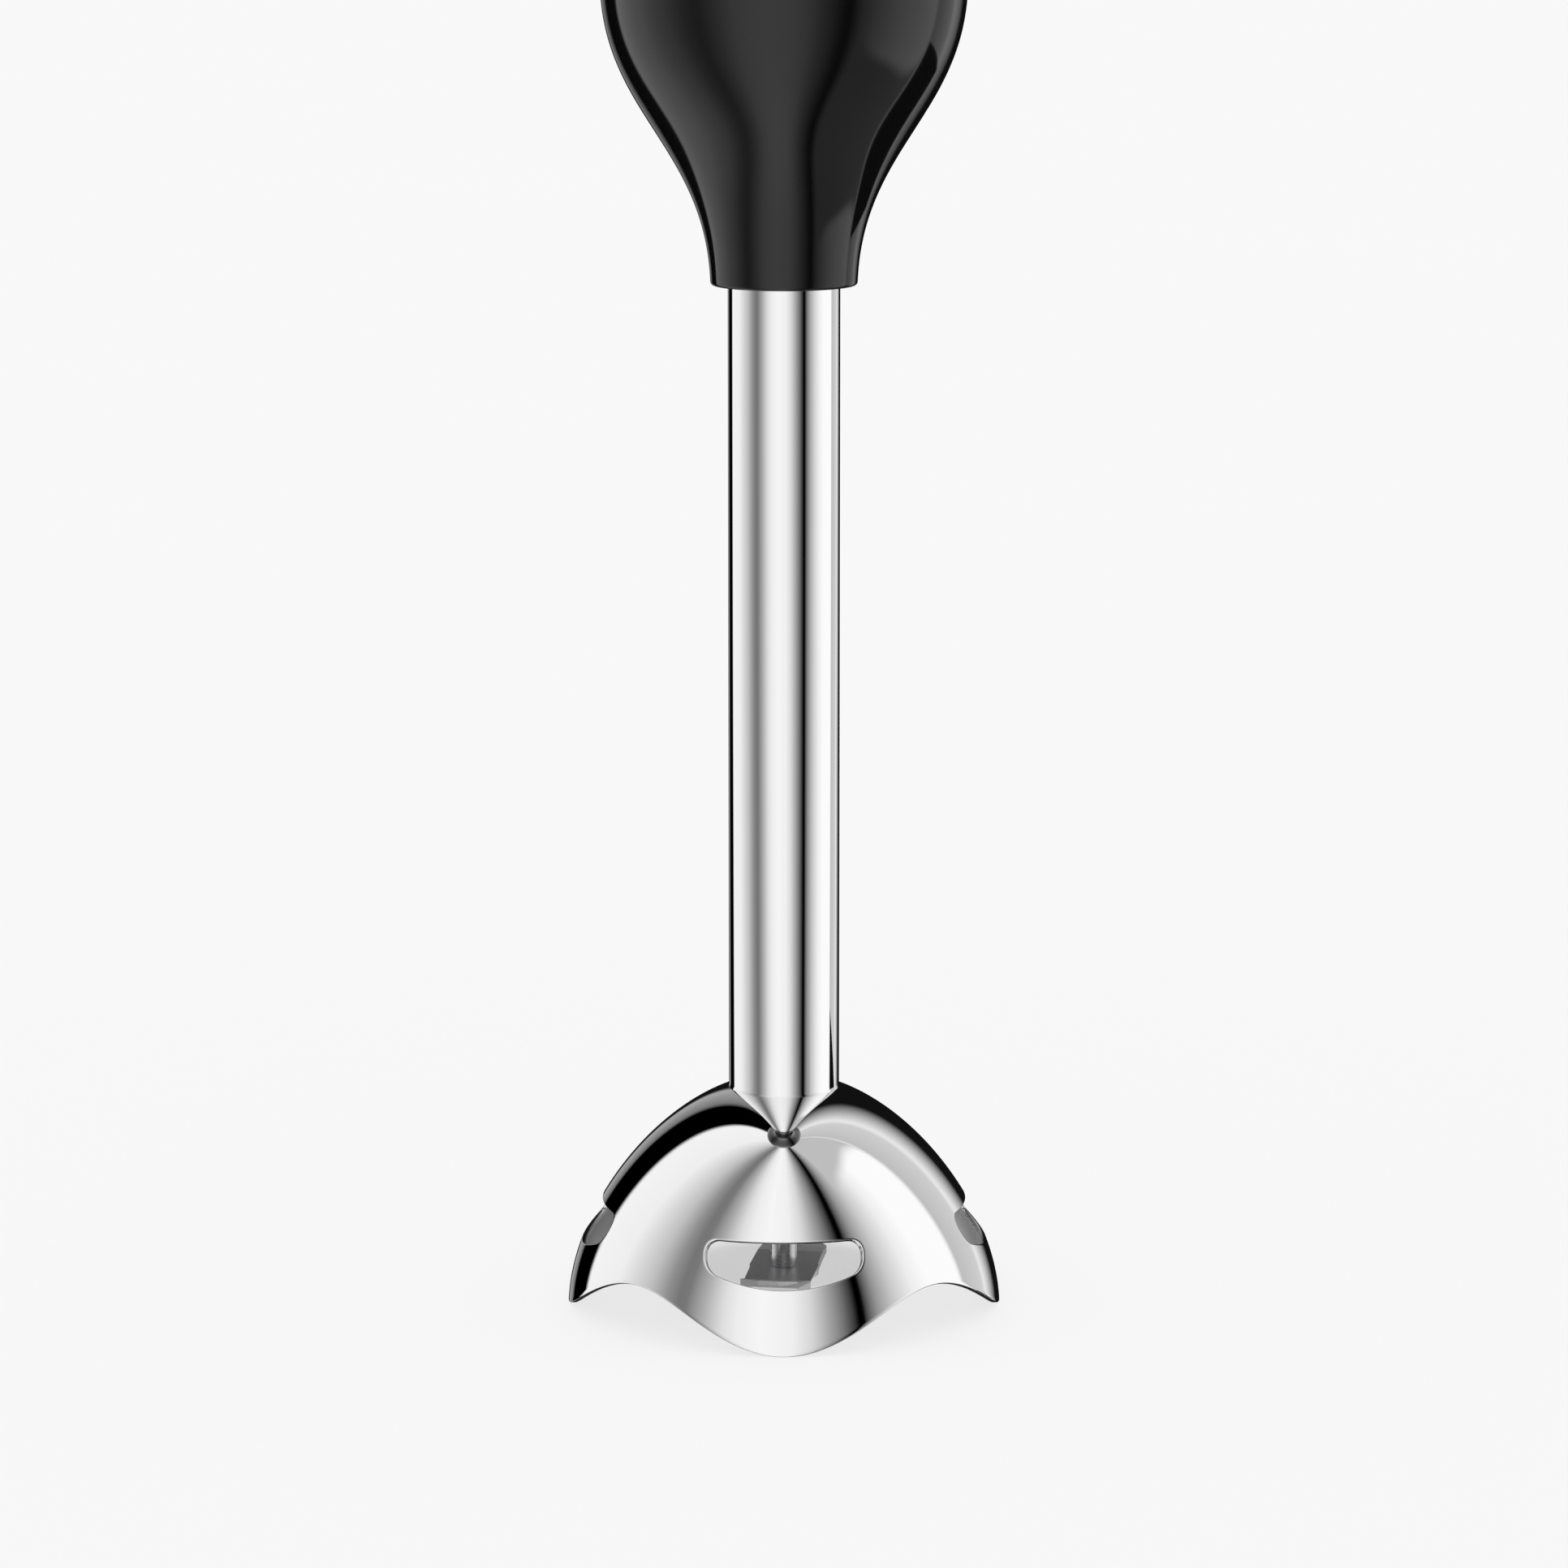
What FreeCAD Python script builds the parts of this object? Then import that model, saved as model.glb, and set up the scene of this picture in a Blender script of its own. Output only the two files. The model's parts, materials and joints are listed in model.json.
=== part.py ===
"""Hand-held immersion blender: a motor handle and a detachable blending foot, modelled as separate pieces.

Frame, in millimetres: Z runs up the shaft, Z = 0 is the plane on which the four tips of the blade guard stand,
X = Y = 0 is the shaft's axis, and the buttons face -Y.
The foot is everything below SPLIT, with the blade, its shaft and the upper coupling. It pulls straight down.
"""

import FreeCAD, Part
import math
import os

V = FreeCAD.Vector
ORIGIN = V(0, 0, 0)
UP = V(0, 0, 1)

# ---------------------------------------------------------------- driving dimensions
GUARD_RADIUS = 32.5  # blade guard, at its rim
GUARD_TOP = 33.0  # where the guard meets the tube
SHEET = 1.0  # thickness of the guard's pressed steel
WAVE = 4.0  # half the height of the rim's waves
LOBES = 4  # waves round the rim, and windows above their tips
TUBE_RADIUS = 8.25
TUBE_WALL = 0.7
TUBE_TOP = 171.0
COLLAR_FOOT = 153.1  # lower edge of the plastic collar
SPLIT = 204.0  # the foot parts from the motor unit here
BODY_RADIUS = 26.72  # widest part of the plastic body
HOUSING_FOOT = 207.2
HOUSING_TOP = 390.0
WALL = 2.4  # wall of the plastic housing
SHAFT_RADIUS = 2.5
BLADE_TOP = 5.2  # upper face of the blade, which the shaft's shoulder rests on
BLADE_SHEET = 1.3
SHAFT_PLAY = 0.03  # radial play of a shaft in its bush
BEARING_RADIUS = 8.0
COUPLING_FLATS = 7.0  # across the flats of the hexagonal drive
CORD_HOLE_RADIUS = 3.6  # for a round mains cord of 7 mm

# the motor, from its fan upwards
FAN_LOW, FAN_HIGH = 229.0, 237.0
STACK_LOW, STACK_HIGH = 244.0, 274.0  # laminations of the field
FIELD_RADIUS = 21.0
BORE_RADIUS = 12.3  # bore of the field's poles
ARMATURE_RADIUS = 11.9
BOLT_CIRCLE = 19.2  # radius on which the motor's four bolts stand
BRUSH_LEVEL = 287.5  # height of the brushes' centre
BRACKET_TOP = 305.0

# the controls
ON_LEVEL, TURBO_LEVEL = 354.0, 329.0
ON_SIZE = (15.0, 22.0)
TURBO_SIZE = (13.0, 14.0)
BUTTON_TRAVEL = 2.0
RELEASE_LEVEL = 232.0
RELEASE_SIZE = (14.0, 18.0)
DIAL_TURN = 240.0  # degrees
DIAL_START = 150.0  # where the dial's pin stands at its lowest setting, in degrees from +X
SCREW_X = 13.5
SCREW_LEVELS = (313.0, 381.0)

PARTS = {}


# ---------------------------------------------------------------- shapes used by many pieces
def rod(radius, low, high, x=0.0, y=0.0):
    """An upright cylinder."""
    return Part.makeCylinder(radius, high - low, V(x, y, low))


def ring(inner, outer, low, high):
    """An upright tube round the main axis."""
    return rod(outer, low, high).cut(rod(inner, low - 1, high + 1))


def cross_rod(radius, start, end, x, z):
    """A cylinder along Y, from start to end."""
    return Part.makeCylinder(radius, end - start, V(x, start, z), V(0, 1, 0))


def block(x0, x1, y0, y1, z0, z1):
    return Part.makeBox(x1 - x0, y1 - y0, z1 - z0, V(x0, y0, z0))


def turned(*outline):
    """A solid of revolution from a closed outline of (radius, height) points."""
    points = [V(r, 0, z) for r, z in outline]
    return spun(Part.makePolygon(points + points[:1]))


def spun(wire, degrees=360.0):
    return Part.Face(Part.Wire(wire)).revolve(ORIGIN, UP, degrees)


def bezier(*poles):
    """A Bezier edge in the XZ plane, from (radius, height) poles."""
    curve = Part.BezierCurve()
    curve.setPoles([V(r, 0, z) for r, z in poles])
    return curve.toShape()


def line(a, b):
    return Part.makeLine(V(a[0], 0, a[1]), V(b[0], 0, b[1]))


def joined(first, *others):
    """Pieces fused into one solid."""
    return first.multiFuse(list(others)).removeSplitter()


def around(shape, count, start=0.0):
    """Copies of a shape, evenly spaced round the main axis."""
    copies = []
    for n in range(count):
        copy = shape.copy()
        copy.rotate(ORIGIN, UP, start + 360.0 * n / count)
        copies.append(copy)
    return copies


def turned_by(shape, degrees):
    return around(shape, 1, degrees)[0]


def mirrored(shape):
    """The same piece on the other side of the YZ plane."""
    return shape.mirror(ORIGIN, V(1, 0, 0))


def slab(width, height, radius, near, far, level):
    """A rounded rectangle in XZ, centred on the axis at a level, made solid from Y = near to Y = far."""
    box = block(-width / 2, width / 2, near, far, level - height / 2, level + height / 2)
    corners = [e for e in box.Edges if abs(e.Vertexes[0].X - e.Vertexes[1].X) < 1e-6
               and abs(e.Vertexes[0].Z - e.Vertexes[1].Z) < 1e-6]
    return box.makeFillet(radius, corners)


def hexagon(flats, low, high):
    """An upright hexagonal bar."""
    corner = flats / math.sqrt(3)
    points = [V(corner * math.cos(math.radians(60 * n)), corner * math.sin(math.radians(60 * n)), low)
              for n in range(6)]
    return Part.Face(Part.makePolygon(points + points[:1])).extrude(V(0, 0, high - low))


def coil_spring(radius, wire, turns, start, end, x, z):
    """A helical spring along Y."""
    helix = Part.makeHelix((end - start) / turns, end - start, radius)
    profile = Part.Wire(Part.makeCircle(wire, V(radius, 0, 0), V(0, 1, 0)))
    spring = Part.Wire(helix.Edges).makePipeShell([profile], True, True)
    spring.rotate(ORIGIN, V(1, 0, 0), -90)
    spring.translate(V(x, start, z))
    return spring


def ball_bearing(bore, outer, low, width):
    """(outer race with its balls, inner race) of a bearing on the main axis."""
    balls_at = (bore + outer) / 2
    ball = (outer - bore) * 0.22
    outer_race = ring(balls_at + ball + 0.03, outer, low, low + width)
    inner_race = ring(bore, balls_at - ball - 0.03, low, low + width)
    count = int(math.pi * balls_at / ball * 0.8)
    balls = around(Part.makeSphere(ball, V(balls_at, 0, low + width / 2)), count)
    return [outer_race] + balls, inner_race


def pan_screw(shank, head, tip, seat, top):
    """An upright screw on the main axis: shank from tip to seat, then a head with a cross recess."""
    body = joined(rod(shank, tip, seat), rod(head, seat, top))
    arm = block(-head * 0.55, head * 0.55, -0.3, 0.3, top - 0.8, top + 1)
    return body.cut(arm).cut(turned_by(arm, 90))


def keep(name, *solids):
    """Registers the solids of one node."""
    PARTS[name] = solids[0] if len(solids) == 1 else Part.makeCompound(list(solids))


# ---------------------------------------------------------------- blade guard, tube and lower bearing
def wave_height(angle):
    """Height of the rim at an angle in radians: 0 at the tips, twice WAVE between them."""
    return WAVE * (1 - math.cos(LOBES * angle))


def wave_loop(radius, count=48):
    """The rim's wave as a closed curve at a radius."""
    angles = [2 * math.pi * (n + 0.5) / count for n in range(count)]
    curve = Part.BSplineCurve()
    curve.interpolate(Points=[V(radius * math.cos(a), radius * math.sin(a), wave_height(a)) for a in angles],
                      PeriodicFlag=True)
    return curve.toShape()


def guard_window():
    """The prism that cuts the front window: flat on top, bowed below, with round corners."""
    half, top, side, bottom = 11.5, 15.85, 11.65, 9.45
    low_corners = [V(-half, -20, side), V(half, -20, side)]
    bow = Part.Arc(low_corners[0], V(0, -20, bottom), low_corners[1]).toShape()
    left = Part.makeLine(V(-half, -20, top), low_corners[0])
    right = Part.makeLine(low_corners[1], V(half, -20, top))
    head = Part.makeLine(V(half, -20, top), V(-half, -20, top))
    prism = Part.Face(Part.Wire([left, bow, right, head])).extrude(V(0, -20, 0))

    def along_y(z_low, z_high):
        return [e for e in prism.Edges if len(e.Vertexes) == 2 and abs(e.Vertexes[0].X - e.Vertexes[1].X) < 1e-6
                and z_low < e.Vertexes[0].Z < z_high and abs(e.Vertexes[0].Y - e.Vertexes[1].Y) > 1]

    prism = prism.makeFillet(2.0, along_y(top - 0.1, top + 0.1))
    return prism.makeFillet(2.4, along_y(side - 0.1, side + 0.1))


def blade_guard():
    neck_outer, neck_inner, neck_top = TUBE_RADIUS - TUBE_WALL - 0.05, 6.6, 41.0
    # the blank reaches below the tips, and the wave trims it
    outside = [(TUBE_RADIUS, GUARD_TOP), (21.26, 28.32), (GUARD_RADIUS + 0.35, 11.56), (GUARD_RADIUS + 0.01, -1.5)]
    underside = GUARD_TOP - SHEET + 0.06
    inside = [(7.91, underside), (20.59, 27.42), (GUARD_RADIUS - 0.67, 11.38), (GUARD_RADIUS - SHEET + 0.01, -1.5)]
    outline = [
        line((neck_inner, neck_top), (neck_outer, neck_top)),
        line((neck_outer, neck_top), (neck_outer, GUARD_TOP)),
        line((neck_outer, GUARD_TOP), (TUBE_RADIUS, GUARD_TOP)),
        bezier(*outside),
        line(outside[-1], inside[-1]),
        bezier(*inside),
        line(inside[0], (neck_inner, underside)),
        line((neck_inner, underside), (neck_inner, neck_top)),
    ]
    dome = spun(outline)
    trimmer = Part.makeRuledSurface(wave_loop(GUARD_RADIUS - 5), wave_loop(GUARD_RADIUS + 3)).extrude(V(0, 0, -12))
    return dome.cut(trimmer).cut(Part.makeCompound(around(guard_window(), LOBES)))


def make_guard_and_tube():
    keep("bell_guard", blade_guard())
    tube = ring(TUBE_RADIUS - TUBE_WALL, TUBE_RADIUS, GUARD_TOP, TUBE_TOP)
    keep("shaft_tube", tube.cut(ring(TUBE_RADIUS - 0.35, TUBE_RADIUS + 1, 168.1, 169.3)))
    keep("bearing_housing", turned((5.2, 11.5), (7.3, 11.5), (8.6, 26), (8.6, 31.6), (6.55, 31.6), (6.55, 43),
                                   (4.5, 43), (4.5, 26), (3.4, 26), (3.4, 18), (5.2, 18)))
    keep("seal_cover", turned((3.2, 10.5), (6.9, 10.5), (7.3, 10.9), (7.3, 11.5), (3.2, 11.5)))
    keep("shaft_seal", turned((5.2, 11.6), (5.2, 17.9), (4.0, 17.9), (4.0, 14.5), (2.53, 13.6), (2.53, 13.0),
                              (3.4, 12.4), (3.4, 11.6)))
    keep("lower_bush", ring(SHAFT_RADIUS + SHAFT_PLAY, 4.5, 26.2, 42.0))
    guide = ring(SHAFT_RADIUS + 0.2, TUBE_RADIUS - TUBE_WALL - 0.05, 98, 106)
    keep("mid_guide", guide.cut(Part.makeCompound(around(rod(1.3, 97, 107, 5.1), 6))))


# ---------------------------------------------------------------- blade, its shaft and the driven half of the coupling
def wing(rise):
    """One blade wing along -Y: flat near the hub, then sloping by rise to its thinner tip, with one edge ground
    from below."""
    bend, tip, tip_thick, body_x, edge_x, edge_thick = 8.5, 26.5, 0.6, 3.2, 5.2, 0.2

    def section(x, thick, end_thick):
        points = [V(x, 0, BLADE_TOP), V(x, -bend, BLADE_TOP), V(x, -tip, BLADE_TOP + rise),
                  V(x, -tip, BLADE_TOP + rise - end_thick), V(x, -bend, BLADE_TOP - thick), V(x, 0, BLADE_TOP - thick)]
        return Part.makePolygon(points + points[:1])

    body = section(body_x, BLADE_SHEET, tip_thick)
    plate = Part.Face(section(-edge_x, BLADE_SHEET, tip_thick)).extrude(V(edge_x + body_x, 0, 0))
    bevel = Part.makeLoft([body, section(edge_x, edge_thick, edge_thick)], True, True)
    plan = [V(-5.0, 0, 0), V(-4.6, -14, 0), V(-0.6, -23.6, 0), V(2.6, -25.2, 0), V(edge_x, -22.5, 0),
            V(edge_x, 0, 0)]
    outline = Part.Face(Part.makePolygon(plan + plan[:1])).extrude(V(0, 0, 20))
    return joined(plate, bevel).common(outline)


def make_blade_drive():
    bolt_radius, bolt_end, neck_radius = 1.5, 1.4, 2.0
    underside = BLADE_TOP - BLADE_SHEET
    blade = joined(rod(5.2, underside, BLADE_TOP), wing(4.6), turned_by(wing(-1.6), 180))
    blade = blade.cut(rod(bolt_radius + 0.02, 3, 7))
    keep("blade", turned_by(blade, -8))
    nut = joined(hexagon(COUPLING_FLATS, 1.2, underside), turned((0, 0.5), (2.2, 0.5), (3.4, 1.2), (0, 1.2)))
    keep("blade_nut", nut.cut(rod(bolt_radius, bolt_end, 5)))
    shaft = turned((0, bolt_end), (bolt_radius, bolt_end), (bolt_radius, BLADE_TOP), (neck_radius, BLADE_TOP),
                   (neck_radius, 9.2), (SHAFT_RADIUS, 10.0), (SHAFT_RADIUS, 190), (0, 190))
    keep("drive_shaft", shaft.cut(ring(2.1, 3, 177.2, 178.0)))
    keep("shaft_clip", ring(2.1, 4.2, 177.25, 177.95).cut(block(-1.4, 1.4, 0, 6, 177, 179)))
    coupling = joined(rod(6.0, 181.8, 199.0), ring(5.8, 6.6, 181.8, 184.0))
    coupling = coupling.cut(rod(SHAFT_RADIUS, 180, 190)).cut(hexagon(COUPLING_FLATS + 0.4, 191, 200))
    keep("driven_coupling", coupling)


# ---------------------------------------------------------------- collar of the foot
def make_collar():
    lip, socket_floor, boss_at = 0.55, 168.0, 13.4
    foot_radius = 10.8
    corner = Part.Arc(V(foot_radius - lip, 0, COLLAR_FOOT),
                      V(foot_radius - lip * 0.29, 0, COLLAR_FOOT + lip * 0.29),
                      V(foot_radius, 0, COLLAR_FOOT + lip)).toShape()
    tube_hole = TUBE_RADIUS + 0.05
    outline = [
        line((tube_hole, COLLAR_FOOT), (foot_radius - lip, COLLAR_FOOT)),
        corner,
        bezier((foot_radius, COLLAR_FOOT + lip), (11.84, 172.68), (BODY_RADIUS, 176.91), (BODY_RADIUS, 197.55)),
        line((BODY_RADIUS, 197.55), (BODY_RADIUS, SPLIT)),
        line((BODY_RADIUS, SPLIT), (24.5, SPLIT)),
        line((24.5, SPLIT), (24.5, 197.55)),
        bezier((24.5, 197.55), (24.5, 183.0), (15.0, 175.5), (12.4, socket_floor)),
        line((12.4, socket_floor), (tube_hole, socket_floor)),
        line((tube_hole, socket_floor), (tube_hole, COLLAR_FOOT)),
    ]
    shell = spun(outline).cut(ring(8.0, 9.85, 155.2, 156.8))
    bosses = around(rod(2.8, 171.2, 178.5, boss_at), 3, 30)
    pilots = around(rod(1.25, 173.5, 180, boss_at), 3, 30)
    keep("collar", joined(shell, *bosses).cut(Part.makeCompound(pilots)))
    keep("tube_o_ring", Part.makeTorus(9.05, 0.8, V(0, 0, 156)))
    keep("tube_clip", ring(7.95, 9.8, 168.15, 169.25).cut(block(-2, 2, 0, 12, 167, 171)))

    cup = turned((BEARING_RADIUS, TUBE_TOP), (10.3, TUBE_TOP), (10.3, 178.5), (17.6, 178.5), (22.0, 187.5),
                 (24.3, 197.6), (24.3, 203.8), (21.05, 203.8), (21.05, 189.5), (16.6, 181.5), (7.0, 181.5),
                 (7.0, 178.0), (BEARING_RADIUS, 178.0))
    holes = around(rod(1.4, 178, 182, boss_at), 3, 30)
    recess = block(20.5, 22.5, -4.5, 4.5, 194.0, 199.5)
    cup = cup.cut(Part.makeCompound(holes + [recess, mirrored(recess)]))
    keep("coupling_cup", cup)
    screw = pan_screw(1.25, 2.5, 174.0, 181.5, 183.2)
    screw.translate(V(boss_at, 0, 0))
    keep("cup_screws", *around(screw, 3, 30))
    outer, inner = ball_bearing(SHAFT_RADIUS, BEARING_RADIUS, 171.8, 5.0)
    keep("foot_bearing", *outer)
    keep("foot_bearing_race", inner)


# ---------------------------------------------------------------- lower end of the motor unit
def make_spigot():
    keep("trim_ring", turned((24.6, SPLIT + 0.2), (26.7, SPLIT + 0.2), (27.0, 204.6), (27.0, 206.6), (26.7, 207.0),
                             (24.6, 207.0)))
    spigot = turned((6.5, 201.5), (10.5, 201.5), (10.5, 206), (18.8, 206), (18.8, 190.5), (20.4, 190.5),
                    (20.8, 190.9), (20.8, 204.3), (24.5, 204.3), (24.5, 207.0), (24.0, 207.0), (24.0, 209.0),
                    (BEARING_RADIUS, 209.0), (BEARING_RADIUS, 203.0), (6.5, 203.0))
    posts = around(rod(1.95, 209, STACK_LOW, BOLT_CIRCLE), 4, 45)
    window = block(18.0, 21.5, -4.6, 4.6, 193.0, 200.5)
    floor_slot = block(14.5, 18.7, -4.2, 4.2, 205, 210)
    cuts = [window, mirrored(window), floor_slot, mirrored(floor_slot)]
    pilots = around(rod(1.2, 220, STACK_LOW + 1, BOLT_CIRCLE), 4, 45)
    keep("motor_spigot", joined(spigot, *posts).cut(Part.makeCompound(cuts + pilots)))

    tab = STACK_LOW - 0.05  # the strip's upper end is welded under the field's laminations
    strip = [(17.6, 193.4), (18.3, 193.4), (21.8, 197.4), (21.8, 199.3), (18.3, 199.3), (18.3, 213.0),
             (21.45, 219.0), (21.45, tab), (18.2, tab), (18.2, tab - 0.7), (20.75, tab - 0.7),
             (20.75, 219.3), (17.6, 213.3)]
    points = [V(x, -3.5, z) for x, z in strip]
    spring = Part.Face(Part.makePolygon(points + points[:1])).extrude(V(0, 7, 0))
    keep("latch_springs", spring, mirrored(spring))


# ---------------------------------------------------------------- motor
def make_field():
    yoke = ring(17.5, FIELD_RADIUS, STACK_LOW, STACK_HIGH)
    shoe = ring(BORE_RADIUS, 14.2, STACK_LOW, STACK_HIGH).common(block(-20, 20, 5.8, 20, 200, 300))
    pole = block(-7, 7, 12, 18, STACK_LOW, STACK_HIGH).cut(rod(BORE_RADIUS, 240, 280))
    side = joined(shoe, pole)
    holes = around(rod(1.35, 240, 280, BOLT_CIRCLE), 4, 45)
    keep("field_core", joined(yoke, side, turned_by(side, 180)).cut(Part.makeCompound(holes)))
    coil = ring(14.4, 17.3, STACK_LOW - 4, STACK_HIGH + 3.5).common(block(-11.6, 11.6, 3, 20, 200, 300))
    coil = coil.cut(block(-7.15, 7.15, 10, 20, STACK_LOW - 0.15, STACK_HIGH + 0.15))
    keep("field_coils", coil, turned_by(coil, 180))


def make_rotor():
    keep("motor_shaft", rod(SHAFT_RADIUS, 194, 308))
    core = ring(SHAFT_RADIUS, ARMATURE_RADIUS, STACK_LOW + 1, STACK_HIGH - 1)
    slot = joined(block(7.0, 11.2, -1.1, 1.1, 240, 280), block(11, 13, -0.5, 0.5, 240, 280))
    keep("armature_core", core.cut(Part.makeCompound(around(slot, 12))))
    lower = turned((3.6, 238.8), (8.6, 238.8), (10.6, 241), (10.6, 245.0), (3.6, 245.0))
    upper = turned((3.6, 273.0), (10.6, 273.0), (10.6, 277), (8.6, 279.4), (3.6, 279.4))
    fills = around(block(7.1, 10.9, -1.0, 1.0, STACK_LOW + 1, STACK_HIGH - 1), 12)
    keep("armature_windings", lower, upper, *fills)
    bars = ring(SHAFT_RADIUS, 7.5, 281.5, 293.5)
    grooves = around(block(6.6, 8, -0.25, 0.25, 283, 294), 12, 15)
    keep("commutator", bars.cut(Part.makeCompound(grooves)))
    hub = joined(ring(SHAFT_RADIUS, 5.0, FAN_LOW, FAN_HIGH), ring(4.8, 16.0, FAN_HIGH - 1.2, FAN_HIGH))
    blade = block(4.6, 15.8, -0.5, 0.5, FAN_LOW, FAN_HIGH - 1.0)
    blade.rotate(V(5, 0, 0), UP, 24)
    keep("fan", joined(hub, *around(blade, 9)))
    keep("drive_hub", hexagon(COUPLING_FLATS, 192, 202).cut(rod(SHAFT_RADIUS, 194, 203)))


def make_motor_bearings():
    lower, lower_race = ball_bearing(SHAFT_RADIUS, BEARING_RADIUS, 203.0, 5.0)
    upper, upper_race = ball_bearing(SHAFT_RADIUS, 6.0, 298.5, 4.0)
    keep("motor_bearings", *lower, *upper)
    keep("rotor_races", lower_race, upper_race)


def make_brush_gear():
    foot = STACK_HIGH + 0.2
    rim = ring(17.4, 20.8, foot, 278)
    legs = ring(18.0, 19.8, 277, 300).common(block(-25, 25, -5, 5, 200, 320))
    arms = block(-19.0, 19.0, -5, 5, 297.0, 300.0)
    hub = rod(9.5, 297, BRACKET_TOP)
    deck = joined(block(-5, 5, 8.8, 20, 280, 283.4), block(-5, 5, 17.6, 20, 277, 281)).common(rod(20.6, 270, 290))
    bracket = joined(rim, legs, arms, hub, deck, turned_by(deck, 180)).cut(rod(6.0, 298.5, 310)).cut(rod(4.6, 290, 300))
    holes = around(rod(1.35, 270, 280, BOLT_CIRCLE), 4, 45)
    keep("brush_bracket", bracket.cut(Part.makeCompound(holes)))
    bolt = pan_screw(1.2, 2.1, 222, 278, 279.8)
    bolt.translate(V(BOLT_CIRCLE, 0, 0))
    keep("motor_bolts", *around(bolt, 4, 45))

    level = BRUSH_LEVEL
    tube = block(-3.8, 3.8, 8.8, 18.4, level - 3.9, level + 3.9)
    tube = tube.cut(block(-2.7, 2.7, 8, 17.8, level - 2.7, level + 2.7))
    tube = tube.cut(block(-0.8, 0.8, 8, 15.8, level, level + 5))
    keep("brush_holders", tube, turned_by(tube, 180))
    brush = block(-2.6, 2.6, 7.5, 14.0, level - 2.6, level + 2.6).cut(rod(7.55, 280, 296))
    keep("carbon_brushes", brush, turned_by(brush, 180))
    spring = coil_spring(1.8, 0.3, 4, 14.35, 17.45, 0, level)
    keep("brush_springs", spring, turned_by(spring, 180))
    keep("damper_ring", ring(9.5, 12.0, 301.0, BRACKET_TOP))


# ---------------------------------------------------------------- housing of the motor unit
PROFILE = [(26.7, HOUSING_FOOT), (26.72, 218.0), (25.9, 242.0), (24.3, 270.0), (22.9, 300.0), (22.2, 330.0),
           (22.3, 358.0), (23.2, HOUSING_TOP)]


def profile_edge(offset):
    """The housing's upright outline, moved outwards by an offset."""
    curve = Part.BSplineCurve()
    curve.interpolate([V(r + offset, 0, z) for r, z in PROFILE])
    return curve.toShape()


def skin(inside, outside, degrees=360.0):
    """The layer between two offsets of the housing's outline, turned from +X by some degrees."""
    inner, outer = profile_edge(inside), profile_edge(outside)
    first, last = PROFILE[0], PROFILE[-1]
    ends = [line((first[0] + inside, first[1]), (first[0] + outside, first[1])),
            line((last[0] + inside, last[1]), (last[0] + outside, last[1]))]
    return spun(Part.__sortEdges__([inner, outer] + ends), degrees)


def inner_space():
    """Everything inside the housing's outer surface."""
    outer = profile_edge(-0.5)
    first, last = PROFILE[0], PROFILE[-1]
    edges = [line((0, first[1]), (first[0] - 0.5, first[1])), outer, line((last[0] - 0.5, last[1]), (0, last[1])),
             line((0, last[1]), (0, first[1]))]
    return spun(Part.__sortEdges__(edges))


def grip_slab(near, far):
    """The outline of a rubber grip, as a prism between two values of Y."""
    return slab(29.0, 66.0, 12.0, near, far, 344.0)


def rear_slab(near, far):
    return slab(27.0, 52.0, 12.0, near, far, 347.0)


def vents():
    """Air slots in the rear: outlets beside the fan, and inlets beside the rear grip."""
    outlet = block(15, 30, -1.1, 1.1, 226, 240)
    outlets = [turned_by(outlet, a) for a in range(54, 127, 12)]
    inlet = block(15, 30, -0.9, 0.9, 352, 364)
    inlets = [turned_by(inlet, a) for a in (22, 30, 38, 142, 150, 158)]
    return outlets + inlets


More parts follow.
